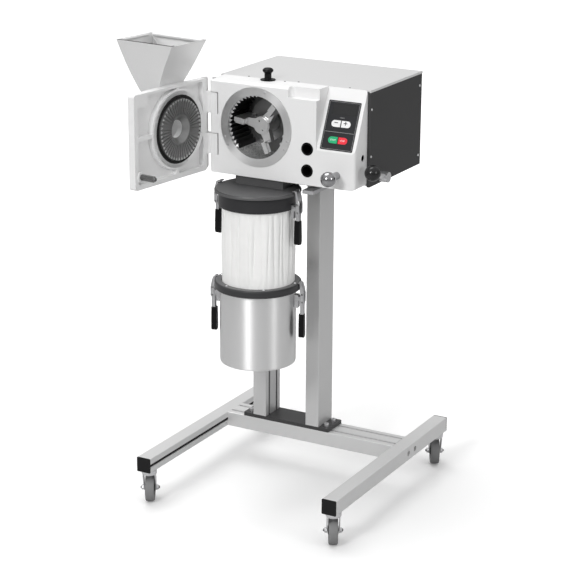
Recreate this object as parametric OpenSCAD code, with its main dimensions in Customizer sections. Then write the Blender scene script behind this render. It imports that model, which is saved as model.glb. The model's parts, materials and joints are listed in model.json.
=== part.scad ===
// Analytical lab mill on a wheeled profile stand, with a hinged chamber door,
// a feed hopper and a filter collector. Millimetres, Z up, floor at zero.

/* [Profiles] */
// Side of the square aluminium profile
profile_size = 40; // [38:1:44]
// Mouth of a T-slot
slot_mouth = 8.2; // [6:0.2:10]
// Lip above the wide part of a T-slot
slot_lip = 4.5; // [3:0.5:6]
// Width inside a T-slot
slot_core = 18; // [14:1:20]
// Whole depth of a T-slot
slot_depth = 12; // [9:0.5:13]
// Rounded edge of the profiles
profile_edge = 2; // [1:0.5:3]
// Bore along the middle of each profile cell
profile_bore = 7; // [5:0.5:9]

/* [Stand] */
// Length of each floor leg, without its end caps
leg_length = 654; // [560:2:760]
// Distance between the middles of the legs
leg_spacing = 547.6; // [480:2:640]
// Reach of the legs in front of the cross member's middle
leg_reach = 434; // [380:2:480]
// Thickness of the plastic end caps
cap_thick = 3; // [2:0.5:5]
// Length of the columns
column_height = 693; // [600:1:720]
// Distance between the middles of the columns
column_spacing = 163.2; // [140:1:200]
// Middle of the columns, from the middle of the stand
column_middle = -70.6; // [-90:1:-50]
// Thickness of the plate under the columns
plate_thick = 10; // [6:1:14]
// Thickness of the plate over the columns
top_plate_thick = 9; // [6:1:12]
// How far the base plate stands out past the columns
base_plate_margin = 30; // [26:1:40]
// Width of the top plate's forward tongue
top_plate_tongue = 32; // [24:1:40]
// How far the top plate stands out in front of the columns
top_plate_front = 35; // [20:1:40]
// Right edge of the top plate, past the right column
top_plate_right = 63; // [40:1:80]
// Side of the small corner brackets
bracket_side = 24; // [18:1:30]
// Head diameter of the stand's socket screws
screw_head = 13; // [10:0.5:15]
// Access holes through the legs' outer faces
access_hole = 15; // [11:0.5:18]

/* [Castors] */
// Diameter of the wheels
wheel_d = 75; // [60:1:85]
// Width of the wheels
wheel_width = 25; // [18:1:30]
// Height of the castors, floor to leg
castor_height = 100; // [92:1:120]
// How far the wheel trails behind the swivel
castor_trail = 26; // [15:1:32]
// Swivel place, from the end of the leg
castor_inset = 24; // [22:1:40]
// Heading of the trailing wheels
castor_heading = 119; // [0:1:359]
// Diameter of the swivel head
swivel_head = 39; // [34:1:40]
// Sheet of the fork
fork_sheet = 2.5; // [2:0.5:3.5]
// Diameter of the wheel's axle
wheel_axle = 8; // [6:0.5:10]
// Diameter of the swivel's stem
swivel_stem = 10; // [8:0.5:12]

/* [Housing] */
// Width of the white casting
housing_width = 420; // [400:2:440]
// Right side of the casting, from the middle of the stand
housing_right = 211; // [205:1:220]
// Front face of the casting, in front of the columns' middle
housing_front = 200; // [190:1:210]
// Depth of the casting
casting_depth = 79; // [76:1:90]
// Depth of the whole housing
housing_depth = 363; // [320:2:400]
// Underside of the casting above the top plate
housing_lift = 15; // [12:1:22]
// Height of the casting
housing_height = 244; // [238:1:256]
// Rounded corner of the casting's front outline
casting_corner = 9; // [5:0.5:12]
// Sheet of the covers
cover_sheet = 3; // [2:0.5:4]
// How far the dark side panels stand proud of the casting
side_panel_proud = 4; // [3:0.5:8]
// Width of the slanted control face
control_width = 109; // [104:1:116]
// Height of the front face under the slanted control face
control_sill = 93; // [86:1:100]
// How far the slanted face leans back
control_lean = 66; // [56:1:70]
// Width of the finger notch by the door's corner
notch_width = 80; // [60:1:90]
// Height of the finger notch
notch_height = 27; // [20:1:32]
// Depth of the finger notch
notch_depth = 18; // [14:1:24]

/* [Control panel] */
// Width of the membrane panel
membrane_width = 90; // [86:1:96]
// Height of the membrane panel, up the slope
membrane_height = 126; // [120:1:132]
// Thickness of the membrane panel
membrane_thick = 3.6; // [3:0.2:5]
// How far the membrane panel stands proud
membrane_proud = 0.6; // [0.4:0.1:1.2]
// Width of one button
button_width = 25; // [20:0.5:28]
// Height of one button
button_height = 17; // [13:0.5:20]
// Gap between the two buttons of a pair
button_gap = 3; // [2:0.5:5]
// How far a button goes in
button_travel = 0.8; // [0.5:0.1:1]

/* [Grinding chamber] */
// Height of the chamber's axis above the casting's underside
chamber_rise = 131.5; // [128:0.5:136]
// Outer diameter of the chamber's front ring
chamber_ring_d = 205; // [200:1:208]
// Opening of the chamber
chamber_mouth_d = 162; // [158:1:166]
// How far the front ring stands proud of the casting
chamber_ring_proud = 1.7; // [1:0.1:2]
// Thickness of the front ring
chamber_ring_thick = 9.5; // [8:0.5:12]
// Bore of the casting for the chamber
chamber_bore_d = 196; // [190:1:198]
// Depth from the casting's front face to the chamber's rear wall
chamber_depth = 95; // [90:1:105]
// Thickness of the chamber's rear wall
chamber_wall = 8; // [6:0.5:10]
// Root diameter of the toothed liner
tooth_root_d = 166; // [164:1:168]
// Diameter inside the tips of the teeth
tooth_tip_d = 151; // [151:0.5:156]
// Number of teeth of the toothed liner
tooth_count = 17; // [13:1:21]
// Thickness of the sieve
sieve_thick = 2.5; // [2:0.5:4]
// Diameter of the holes in the sieve
sieve_hole_d = 6; // [4:0.5:7]

/* [Rotor] */
// Diameter over the rotor's beaters
rotor_d = 148; // [144:1:150]
// Diameter of the rotor's hub
rotor_hub_d = 46; // [42:1:52]
// Number of arms
rotor_arms = 3; // [2:1:4]
// Turn of the first arm from the right
rotor_phase = 52; // [0:1:119]
// Length of a beater along the arm
beater_length = 32; // [26:1:36]
// Width of a beater across the arm
beater_width = 17; // [13:1:20]
// Diameter of the rotor's shaft
shaft_d = 30; // [24:1:34]
// Outer diameter of the shaft's bearings
bearing_d = 62; // [56:1:68]
// Width of one bearing
bearing_width = 16; // [12:1:18]
// Diameter of the drive motor
motor_d = 150; // [130:2:170]
// Length of the drive motor
motor_length = 150; // [120:2:170]

/* [Door] */
// How far the door stands open in the rest position
door_open = 97; // [90:1:100]
// Hinge pin, behind the casting's front face
pin_depth = 10; // [9:0.5:11]
// Diameter of the hinge pin
pin_d = 8; // [6:0.5:9]
// Reach of the door from its hinge pin
door_reach = 298; // [290:1:302]
// Height of the door
door_height = 240; // [236:1:244]
// Underside of the door above the casting's underside
door_rise = 4; // [2:0.5:6]
// Thickness of the door at its rim
door_thick = 20; // [18:0.5:24]
// Gap between the closed door and the casting
door_gap = 4; // [3.5:0.1:5]
// Skin left under the door's pockets
door_skin = 6; // [5:0.5:8]
// Rim around the door's pockets
door_rim = 13; // [10:0.5:16]
// Ribs between the door's pockets
door_rib = 10; // [6:0.5:12]
// Rounded corners of the door
door_corner = 8; // [5:0.5:12]
// Diameter of the seal
seal_d = 175; // [172:1:178]
// Width of the seal
seal_width = 7.5; // [5:0.5:8]
// Diameter of the serrated insert
insert_d = 157; // [150:1:158]
// How far the insert reaches past the door's inner face
insert_proud = 7; // [5:0.5:8]
// Grooves round the insert
insert_grooves = 45; // [30:1:50]
// Wide end of the inlet in the insert
inlet_front_d = 72; // [64:1:78]
// Narrow end of the inlet
inlet_back_d = 44; // [38:1:46]
// Height of each door knuckle
knuckle_height = 54; // [46:1:58]
// Distance between the middles of the knuckles
knuckle_spacing = 107; // [100:1:114]
// Reach of the lock spindle past its boss
spindle_reach = 46; // [36:1:50]
// Width of the lock spindle across its flats
spindle_flats = 14; // [11:0.5:16]

/* [Hopper] */
// Width of the hopper's rim along the door
hopper_width = 137; // [120:1:150]
// Length of the hopper's rim away from the door
hopper_length = 179; // [160:1:190]
// How far the rim reaches over the door, past the hinge pin's line
hopper_over = 24; // [10:1:30]
// Height of the rim above the door's top edge
hopper_rise = 109.6; // [95:1:125]
// Sheet of the hopper
hopper_sheet = 2; // [1.5:0.5:3]
// Width of the hopper's throat
throat_width = 52; // [50:1:60]
// Depth of the hopper's throat
throat_depth = 14; // [12:1:18]

/* [Lock] */
// Diameter of the lever's black ball
lever_ball_d = 41; // [36:1:45]
// Reach of the lever, shaft to ball
lever_reach = 104; // [90:1:112]
// Lift of the lever above level
lever_lift = 18; // [0:1:30]
// Splay of the lever away from the housing
lever_splay = 9; // [0:1:15]
// Diameter of the lever's hub
lever_hub_d = 27; // [24:1:32]
// Length of the lever's hub outside the side panel
lever_hub_length = 24; // [22:1:30]
// Lever shaft behind the casting's front face
lever_setback = 128; // [115:1:135]
// Lever shaft above the casting's underside
lever_rise = 13.5; // [13.5:0.5:22]
// Diameter of the lever's shaft
lever_shaft_d = 16; // [12:0.5:18]
// Diameter of the bright lock knob
lock_knob_d = 39; // [34:1:42]
// Diameter of the lock knob's neck
lock_neck_d = 20; // [16:0.5:22]
// Reach of the lock knob's middle in front of the casting
lock_knob_reach = 45; // [40:1:50]
// Travel of the lock knob
lock_travel = 8; // [5:0.5:12]
// Diameter of the front ports
port_d = 33; // [31:0.5:36]
// Bore of the front ports
port_bore_d = 25; // [24:0.5:27]
// Distance of the ports' axis from the housing's right side
port_inset = 134; // [128:1:140]
// Distance between the front ports
port_spacing = 56; // [50:1:62]
// Bore of the socket in the casting's right side
side_socket_d = 17; // [12:0.5:18]

/* [Top knob] */
// Diameter of the pull knob's head
pull_head_d = 28; // [24:1:32]
// Diameter of the pull knob's stem
pull_stem_d = 18; // [14:0.5:20]
// Diameter of the pull knob's collar
pull_collar_d = 39; // [34:1:42]
// Height of the pull knob
pull_height = 32; // [26:1:38]
// Travel of the pull knob
pull_travel = 10; // [6:0.5:14]

/* [Collector] */
// Middle of the collector in front of the columns' middle
collector_reach = 190; // [184:1:196]
// Diameter of the lid
lid_d = 224; // [218:1:228]
// Thickness of the lid
lid_thick = 8; // [6:0.5:12]
// Height of the outlet coupling
coupling_height = 25.5; // [25:0.5:32]
// Width of the outlet coupling
coupling_width = 140; // [130:1:150]
// Width of the outlet
outlet_width = 104; // [90:1:110]
// Depth of the outlet
outlet_depth = 45; // [38:1:46]
// Diameter of the upper clamp ring
upper_ring_d = 203; // [200:1:208]
// Height of the upper clamp ring
upper_ring_height = 38; // [34:1:42]
// Length of the filter sleeve between the rings
sleeve_length = 200; // [180:2:230]
// Middle diameter of the filter sleeve
sleeve_d = 189; // [184:1:190]
// Depth of the sleeve's folds
sleeve_fold = 3; // [1:0.5:3.5]
// Cloth of the sleeve
sleeve_cloth = 2; // [1.5:0.5:3]
// Diameter of the lower clamp ring
lower_ring_d = 226; // [216:1:228]
// Height of the lower clamp ring
lower_ring_height = 20; // [16:1:24]
// Diameter of the vessel
vessel_d = 199; // [192:1:204]
// Height of the vessel
vessel_height = 202; // [170:2:210]
// Sheet of the vessel
vessel_sheet = 1.5; // [1:0.5:2.5]

/* [Latches] */
// Turn of the lower pair of latches
lower_latch_turn = 14; // [0:1:30]
// How far the latch pivots lie outside the rim that they clamp
latch_outset = 4.5; // [4:0.5:8]
// Width of a latch lever's metal
latch_width = 13; // [11:0.5:16]
// Width of a latch lever's grip
latch_grip_width = 19; // [15:0.5:22]
// Length of the latch lever's metal, below its pivot
latch_metal = 43; // [36:1:50]
// Length of the latch lever's grip
latch_grip = 64; // [50:1:70]
// Height of the bail above the latch pivot
bail_height = 41; // [38:1:45]
// How far the bail hooks in over the rim
bail_hook = 7; // [5:0.5:10]
// How far the bail's pin lies below the latch pivot
bail_drop = 10; // [9.5:0.5:13]
// Diameter of the bail's wire
bail_wire = 3; // [2.5:0.5:4]

/* [Hidden] */
$fn = 96;

// Clearances and overruns
over = 1;
fit_gap = 0.05;
seat_gap = 0.2;
free_gap = 0.3;

// Stand
half = profile_size / 2;
cross_length = leg_spacing - profile_size;
leg_top = castor_height + profile_size;
base_plate_top = leg_top + plate_thick;
column_top = base_plate_top + column_height;
top_plate_top = column_top + top_plate_thick;
column_left = column_middle - column_spacing / 2;
column_right = column_middle + column_spacing / 2;
leg_rear = leg_length - leg_reach;
screw_reach = column_spacing / 2 + half + base_plate_margin / 2;
head_height = screw_head * 0.6;

// Rounding of the wheels' tread
wheel_crown = 4;

// Housing
front_y = -housing_front;
casting_back = front_y + casting_depth;
housing_back = front_y + housing_depth;
housing_left = housing_right - housing_width;
casting_z = top_plate_top + housing_lift;
housing_top = casting_z + housing_height;
control_left = housing_right - control_width;
control_z = casting_z + control_sill;
slope_rise = housing_height - control_sill;
slope_turn = atan2(slope_rise, control_lean);
slope_length = norm([slope_rise, control_lean]);
cover_front = front_y + control_lean;
panel_inner_left = housing_left;
panel_inner_right = housing_right + side_panel_proud;

// Chamber
chamber_x = column_middle;
chamber_z = casting_z + chamber_rise;
ring_back = front_y - chamber_ring_proud + chamber_ring_thick;
chamber_back = front_y + chamber_depth;
chamber_shell_thick = 5.5;
liner_d = chamber_bore_d - 2 * chamber_shell_thick - 2 * free_gap;
liner_front = ring_back + free_gap;
liner_back = chamber_back - free_gap;
teeth_start = 90;
teeth_end = 228;
sieve_end = 300;
sieve_d = chamber_mouth_d + 8;
bearing_tube_length = 2 * bearing_width + 12;

// Rotor
beater_front = front_y + 12;
beater_back = chamber_back - 6;
hub_front = front_y + 28;
arm_front = hub_front + 4;
arm_thick = 18;
rear_disc_d = 124;
motor_front = chamber_back + chamber_wall + bearing_tube_length + 6;

// Door, in its own frame: x along the door from the pin, y towards the chamber
pin_x = housing_left + pin_depth;
pin_y = front_y + pin_depth;
door_inner = -pin_depth - door_gap;
door_outer = door_inner - door_thick;
door_z = casting_z + door_rise;
door_top = door_z + door_height;
door_eye = chamber_x - pin_x;
boss_d = chamber_ring_d;
door_ring_d = 194;
door_hinge_edge = 14;
knuckle_z = [chamber_z - knuckle_spacing / 2 - 3.5, chamber_z + knuckle_spacing / 2 - 3.5];
lug_reach = 14;
port_x = housing_right - port_inset;
port_z = casting_z + 37;
spindle_u = port_x - pin_x;
spindle_boss_d = 26;

// Hopper, in the door's frame
rim_z = door_top + hopper_rise;
wall_line = door_outer - seat_gap;
throat_bottom = chamber_z - 38;
rim_inner = hopper_over;
rim_outer = hopper_over - hopper_length;

// Lock
lever_x = housing_right + side_panel_proud + side_panel_proud;
lever_y = front_y + lever_setback;
lever_z = casting_z + lever_rise;
lever_mid = lever_hub_length - lever_hub_d / 2;
lock_x = housing_right - 50;
lock_z = casting_z + 35;

// Pull knob
pull_x = chamber_x + 4;
pull_y = front_y + 54;

// Collector
collector_x = chamber_x;
collector_y = -collector_reach;
lid_z = casting_z - coupling_height - lid_thick;
upper_ring_z = lid_z - upper_ring_height;
lower_ring_top = upper_ring_z - sleeve_length;
lower_ring_z = lower_ring_top - lower_ring_height;
vessel_z = lower_ring_z - vessel_height;
outlet_front = front_y + 28;
tongue_left = column_right + half + top_plate_right - top_plate_tongue;
clamp_bore_d = sleeve_d + 2 * free_gap;
shelf_d = vessel_d - 16;
clamp_depth = lower_ring_height / 2;

// Latches: heights and radii of the pivots, and the bail's pin, knee and bar about the pivot
upper_latch_z = lid_z + lid_thick - bail_height;
lower_latch_z = lower_ring_top - bail_height;
upper_latch_r = lid_d / 2 + latch_outset;
lower_latch_r = lower_ring_d / 2 + latch_outset;
bail_pin = [4, -bail_drop];
bail_knee = [bail_wire / 2 + free_gap - latch_outset, bail_height + bail_wire / 2 + free_gap];
bail_bar = [bail_knee[0] - bail_hook, bail_knee[1]];
latch_plate = 3;
latch_pin_d = 4;
latch_ear = latch_width / 2 + free_gap;
ear_thick = 2;
lug_thick = 3;

// Middle of the whole machine seen from above, which is the origin
door_turn = -door_open;
function swung(p) = [pin_x + p[0] * cos(door_turn) - p[1] * sin(door_turn),
    pin_y + p[0] * sin(door_turn) + p[1] * cos(door_turn)];
left_reach = swung([door_eye + hopper_width / 2, rim_outer])[0];
right_reach = leg_spacing / 2 + half;
front_reach = swung([door_reach, door_inner])[1];
castor_rear = leg_rear - castor_inset;
rear_reach = castor_rear + (castor_trail + wheel_d / 2 - wheel_crown / 4) * sin(castor_heading)
    + (wheel_width / 2 - wheel_crown) * abs(cos(castor_heading));
middle = [(left_reach + right_reach) / 2, (front_reach + rear_reach) / 2];

module placed() {
    translate([-middle[0], -middle[1], 0]) children();
}

// A box between two corners
module span(low, high) {
    translate(low) cube(high - low);
}

// A round bar along Y, from one depth to another
module bar_y(x, z, d, from, to) {
    translate([x, from, z]) rotate([-90, 0, 0]) cylinder(h = to - from, d = d);
}

// A round bar along X
module bar_x(y, z, d, from, to) {
    translate([from, y, z]) rotate([0, 90, 0]) cylinder(h = to - from, d = d);
}

// A flat outline with rounded corners, between two corners
module rounded(low, high, r) {
    translate([low[0] + r, low[1]]) square([high[0] - low[0] - 2 * r, high[1] - low[1]]);
    translate([low[0], low[1] + r]) square([high[0] - low[0], high[1] - low[1] - 2 * r]);
    for (x = [low[0] + r, high[0] - r])
        for (y = [low[1] + r, high[1] - r])
            translate([x, y]) circle(r, $fn = 48);
}

// Outline of a T-slot that opens towards +Y at the origin
module slot_outline() {
    translate([-slot_mouth / 2, -slot_depth]) square([slot_mouth, slot_depth + over]);
    polygon([[-slot_core / 2, -slot_lip], [slot_core / 2, -slot_lip],
        [slot_core / 2, -slot_lip - slot_depth / 4], [slot_mouth / 2, -slot_depth],
        [-slot_mouth / 2, -slot_depth], [-slot_core / 2, -slot_lip - slot_depth / 4]]);
}

// Cross section of a profile of one or two cells, with slots at the given turns
module profile_outline(cells, slots) {
    wide = cells * profile_size;
    difference() {
        rounded([-wide / 2, -half], [wide / 2, half], profile_edge);
        for (c = [1:cells]) {
            middle_x = (c - (cells + 1) / 2) * profile_size;
            translate([middle_x, 0]) circle(d = profile_bore, $fn = 48);
            for (s = slots)
                translate([middle_x, 0]) rotate(s) translate([0, half]) slot_outline();
        }
    }
}

// One floor leg, with its slot towards the stand's middle
module leg(side) {
    x = side * leg_spacing / 2;
    difference() {
        translate([x, leg_rear, castor_height + half]) rotate([90, 0, 0])
            linear_extrude(leg_length) profile_outline(1, [side * 90]);
        for (y = [-half, half])
            bar_x(y, castor_height + half, access_hole, side > 0 ? x + slot_mouth / 2 : x - half - over,
                side > 0 ? x + half + over : x - slot_mouth / 2);
        for (y = castor_places())
            translate([x, y, castor_height - over])
                cylinder(h = slot_depth + over, d = swivel_stem + 2 * fit_gap);
    }
}

function castor_places() = [castor_inset - leg_reach, leg_rear - castor_inset];

module legs() {
    color("silver") placed() for (side = [-1, 1]) leg(side);
}

module leg_end_caps() {
    color("black") placed()
        for (side = [-1, 1])
            for (y = [-leg_reach, leg_rear + cap_thick])
                translate([side * leg_spacing / 2, y, castor_height + half]) rotate([90, 0, 0])
                    linear_extrude(cap_thick) rounded([-half, -half], [half, half], profile_edge);
}

module cross_member() {
    color("silver") placed()
        translate([-cross_length / 2, 0, castor_height + half]) rotate([90, 0, 90])
            linear_extrude(cross_length) profile_outline(2, [0, 180]);
}

// Angle brackets in the two rear corners of the stand
module corner_brackets() {
    wall = plate_thick / 2;
    color("gainsboro") placed()
        for (side = [-1, 1])
            translate([side * cross_length / 2, profile_size, castor_height + half])
                mirror([side > 0 ? 1 : 0, 0, 0])
                    for (z = [-half / 2 - wall / 4, half / 2 - 3 * wall / 4])
                        translate([0, 0, z]) difference() {
                            linear_extrude(wall) polygon([[0, 0], [bracket_side, 0],
                                [bracket_side, wall], [wall, bracket_side], [0, bracket_side]]);
                            translate([bracket_side / 2, bracket_side / 2, -over])
                                cylinder(h = wall + 2 * over, d = wall, $fn = 24);
                        }
}

// A socket-headed screw with its head up and its seat at zero
module socket_screw(length) {
    difference() {
        union() {
            cylinder(h = head_height, d = screw_head, $fn = 48);
            translate([0, 0, -length]) cylinder(h = length, d = screw_head / 2, $fn = 32);
        }
        translate([0, 0, head_height / 2]) cylinder(h = head_height, d = screw_head / 2, $fn = 6);
    }
}

module stand_screws() {
    color("dimgray") placed()
        for (side = [-1, 1])
            for (y = [-half, half])
                translate([column_middle + side * screw_reach, y, base_plate_top])
                    socket_screw(plate_thick);
}

module base_plate() {
    reach = column_spacing / 2 + half + base_plate_margin;
    color("dimgray") placed() difference() {
        translate([0, 0, leg_top]) linear_extrude(plate_thick)
            rounded([column_middle - reach, -profile_size], [column_middle + reach, profile_size], profile_edge);
        for (side = [-1, 1])
            for (y = [-half, half])
                translate([column_middle + side * screw_reach, y, leg_top - over])
                    cylinder(h = plate_thick + 2 * over, d = screw_head / 2 + 2 * fit_gap, $fn = 32);
    }
}

module columns() {
    color("silver") placed() {
        translate([column_left, 0, base_plate_top]) linear_extrude(column_height)
            rotate(90) profile_outline(2, [180]);
        translate([column_right, 0, base_plate_top]) linear_extrude(column_height)
            rotate(90) profile_outline(2, [0]);
    }
}

// Plate over the columns, with a tongue that reaches forward right of the outlet
module top_plate() {
    right = column_right + half + top_plate_right;
    back_edge = profile_size + half;
    color("silver") placed() difference() {
        translate([0, 0, column_top]) linear_extrude(top_plate_thick) union() {
            rounded([column_left - half - half / 2, -profile_size - top_plate_front], [right, back_edge], profile_edge);
            rounded([tongue_left, front_y + profile_edge], [right, back_edge], profile_edge);
        }
        for (x = [column_left, column_right])
            for (y = [-half, half])
                translate([x, y, column_top - over])
                    cylinder(h = top_plate_thick + 2 * over, d = screw_head / 2 + 2 * fit_gap, $fn = 32);
    }
}

// A castor's fork, swivel head and axle, about its swivel axis with the trail along +X
module castor_fork_shape() {
    inner = wheel_width / 2 + 2;
    axle_z = wheel_d / 2;
    head_thick = 10;
    head_z = castor_height - head_thick;
    cheek_top = head_z - fork_sheet;
    cylinder_end = inner + fork_sheet;
    translate([0, 0, head_z]) cylinder(h = head_thick - free_gap, d = swivel_head);
    translate([0, 0, head_z + over]) cylinder(h = head_thick + slot_depth - seat_gap - over, d = swivel_stem);
    translate([0, 0, cheek_top]) cylinder(h = fork_sheet, d = swivel_head - fork_sheet);
    for (side = [-1, 1])
        translate([0, side > 0 ? inner + fork_sheet : -inner, 0]) rotate([90, 0, 0])
            linear_extrude(fork_sheet) {
                polygon([[-swivel_head / 3, cheek_top + fork_sheet], [-swivel_head / 3, cheek_top - fork_sheet],
                    [castor_trail - wheel_axle, axle_z], [castor_trail + wheel_axle, axle_z],
                    [swivel_head / 2.6, cheek_top - fork_sheet], [swivel_head / 2.6, cheek_top + fork_sheet]]);
                translate([castor_trail, axle_z]) circle(d = 2 * wheel_axle, $fn = 48);
            }
    translate([castor_trail, cylinder_end + fork_sheet, axle_z]) rotate([90, 0, 0])
        cylinder(h = 2 * (cylinder_end + fork_sheet), d = wheel_axle);
    for (side = [-1, 1])
        translate([castor_trail, side > 0 ? cylinder_end + 2 * fork_sheet : -cylinder_end, axle_z])
            rotate([90, 0, 0]) cylinder(h = 2 * fork_sheet, d = 1.7 * wheel_axle, $fn = 6);
}

// A castor's wheel about the same axis
module castor_wheel_shape() {
    tread = wheel_width / 2;
    crown = wheel_crown;
    hub = wheel_width / 2 + 1.5;
    translate([castor_trail, 0, wheel_d / 2]) rotate([90, 0, 0]) rotate_extrude()
        polygon([[wheel_axle / 2 + fit_gap, -hub], [wheel_axle * 1.2, -hub], [wheel_axle * 1.4, -tread + crown],
            [wheel_d / 2 - 3 * crown, -tread + crown], [wheel_d / 2 - 2.4 * crown, -tread],
            [wheel_d / 2 - crown, -tread], [wheel_d / 2 - crown / 4, -tread + crown],
            [wheel_d / 2, 0], [wheel_d / 2 - crown / 4, tread - crown], [wheel_d / 2 - crown, tread],
            [wheel_d / 2 - 2.4 * crown, tread], [wheel_d / 2 - 3 * crown, tread - crown],
            [wheel_axle * 1.4, tread - crown], [wheel_axle * 1.2, hub], [wheel_axle / 2 + fit_gap, hub]]);
}

module at_castor(side, row) {
    placed() translate([side * leg_spacing / 2, castor_places()[row], 0]) rotate(castor_heading) children();
}

module castor_fork_front_left() { color("gainsboro") at_castor(-1, 0) castor_fork_shape(); }
module castor_fork_front_right() { color("gainsboro") at_castor(1, 0) castor_fork_shape(); }
module castor_fork_rear_left() { color("gainsboro") at_castor(-1, 1) castor_fork_shape(); }
module castor_fork_rear_right() { color("gainsboro") at_castor(1, 1) castor_fork_shape(); }
module castor_wheel_front_left() { color("dimgray") at_castor(-1, 0) castor_wheel_shape(); }
module castor_wheel_front_right() { color("dimgray") at_castor(1, 0) castor_wheel_shape(); }
module castor_wheel_rear_left() { color("dimgray") at_castor(-1, 1) castor_wheel_shape(); }
module castor_wheel_rear_right() { color("dimgray") at_castor(1, 1) castor_wheel_shape(); }

// Dark pan that closes the housing below and behind, with two skids down to the top plate
module base_pan() {
    left = housing_left + cover_sheet;
    right = housing_right + side_panel_proud - seat_gap;
    top = housing_top - 2 * cover_sheet;
    color("dimgray") placed() {
        difference() {
            span([left, casting_back + seat_gap, casting_z - cover_sheet], [right, housing_back, top]);
            span([left - over, casting_back - over, casting_z], [right + over, housing_back - cover_sheet, top + over]);
            for (i = [0:7])
                translate([chamber_x - 70 + i * 20, housing_back + over, chamber_z])
                    rotate([90, 0, 0]) linear_extrude(cover_sheet + 2 * over) rounded([-5, -40], [5, 40], 4);
        }
        for (x = [column_left, column_right])
            span([x - half, -profile_size, top_plate_top], [x + half, profile_size, casting_z - cover_sheet]);
    }
}

// The space ahead of the slanted control face
module control_cut() {
    translate([control_left, 0, 0]) rotate([90, 0, 90]) linear_extrude(control_width + over)
        polygon([[front_y - over, control_z - over * slope_rise / control_lean],
            [front_y + control_lean + over, housing_top + over * slope_rise / control_lean],
            [front_y - over, housing_top + over * slope_rise / control_lean]]);
}

// Frame of the slanted face: x across, y up the slope, z out of it
module on_slope() {
    translate([0, front_y, control_z]) rotate([slope_turn, 0, 0]) children();
}

membrane_left = control_left + (control_width - membrane_width) / 2;
membrane_foot = 5;

module front_casting() {
    inner = 10;
    color("whitesmoke") placed() difference() {
        intersection() {
            translate([0, casting_back, 0]) rotate([90, 0, 0]) linear_extrude(casting_depth)
                rounded([housing_left, casting_z], [housing_right, housing_top], casting_corner);
            translate([0, 0, casting_z - over]) linear_extrude(housing_height + 2 * over)
                union() {
                    translate([pin_x, front_y]) square([housing_right - pin_x - casting_corner, casting_depth]);
                    translate([housing_left, pin_y]) square([housing_width, casting_depth - pin_depth]);
                    translate([pin_x, pin_y]) circle(pin_depth, $fn = 64);
                    translate([housing_right - casting_corner, front_y + casting_corner])
                        circle(casting_corner, $fn = 64);
                }
        }
        control_cut();
        casting_crest_cut();
        span([housing_left - over, cover_front - seat_gap, housing_top - cover_sheet - seat_gap],
            [housing_right + over, casting_back + over, housing_top + over]);
        finger_notch();
        on_slope() linear_extrude(membrane_thick * 2, center = true)
            rounded([membrane_left - seat_gap, membrane_foot - seat_gap],
                [membrane_left + membrane_width + seat_gap, membrane_foot + membrane_height + seat_gap], 3);
        bar_y(chamber_x, chamber_z, chamber_bore_d, front_y, casting_back + over);
        bar_y(chamber_x, chamber_z, chamber_ring_d + 2 * seat_gap, front_y - over, ring_back);
        span([chamber_x - outlet_width / 2, outlet_front, casting_z - over],
            [chamber_x + outlet_width / 2, outlet_front + outlet_depth, chamber_z]);
        for (z = [port_z, port_z + port_spacing])
            bar_y(port_x, z, port_d + 2 * seat_gap, front_y - over, casting_back - inner);
        bar_y(lock_x, lock_z, lock_neck_d + 2 * fit_gap, front_y - over, casting_back - inner);
        bar_x(front_y + 44, casting_z + 76, side_socket_d, housing_right - 40, housing_right + over);
        for (z = knuckle_z)
            span([housing_left - over, front_y - over, z - knuckle_height / 2 - free_gap],
                [pin_x + norm([lug_reach, pin_depth]) + free_gap,
                    pin_y + norm([lug_reach, pin_depth]) + free_gap, z + knuckle_height / 2 + 2]);
        translate([pin_x, pin_y, casting_z + inner]) cylinder(h = housing_height, d = pin_d + 2 * fit_gap);
        translate([pull_x, pull_y, chamber_z + chamber_bore_d / 2 - over])
            cylinder(h = housing_height, d = pull_stem_d / 2 + 2 * fit_gap);
        // Hollow behind the control face, open to the rear
        intersection() {
            span([control_left + inner, front_y + inner, casting_z + inner + port_d * 0.2],
                [housing_right - inner, casting_back + over, housing_top - inner]);
            translate([0, 2 * inner, 0]) difference() {
                span([control_left, front_y, casting_z + 2 * inner + lock_z - casting_z],
                    [housing_right, casting_back + over, housing_top]);
                control_cut();
            }
        }
    }
}

// Front edge of the casting's crown, cut to a small bevel right of the chamber
module casting_crest_cut() {
    bevel = 6;
    translate([housing_left - over, 0, 0]) rotate([90, 0, 90]) linear_extrude(housing_width + 2 * over)
        polygon([[front_y - over, housing_top - bevel - over], [front_y - over, housing_top + over],
            [front_y + bevel + over, housing_top + over]]);
}

// Notch that lets a finger behind the closed door's corner
module finger_notch() {
    x0 = control_left - notch_width;
    r = notch_height / 3;
    translate([0, 0, housing_top - notch_height]) linear_extrude(notch_height + over) union() {
        translate([x0 + r, front_y - over]) square([notch_width - r + over, notch_depth + over]);
        translate([x0, front_y - over]) square([notch_width, notch_depth - r + over]);
        translate([x0 + r, front_y + notch_depth - r]) circle(r, $fn = 32);
    }
}

module top_cover() {
    color("lightgray") placed() difference() {
        span([housing_left - side_panel_proud, cover_front, housing_top - 2 * cover_sheet],
            [housing_right + 2 * side_panel_proud, housing_back + cover_sheet, housing_top]);
        span([housing_left - seat_gap, cover_front - over, housing_top - 3 * cover_sheet],
            [housing_right + side_panel_proud, casting_back + seat_gap, housing_top - cover_sheet]);
        span([housing_left, casting_back, housing_top - 3 * cover_sheet],
            [housing_right + side_panel_proud, housing_back, housing_top - cover_sheet]);
    }
}

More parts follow.
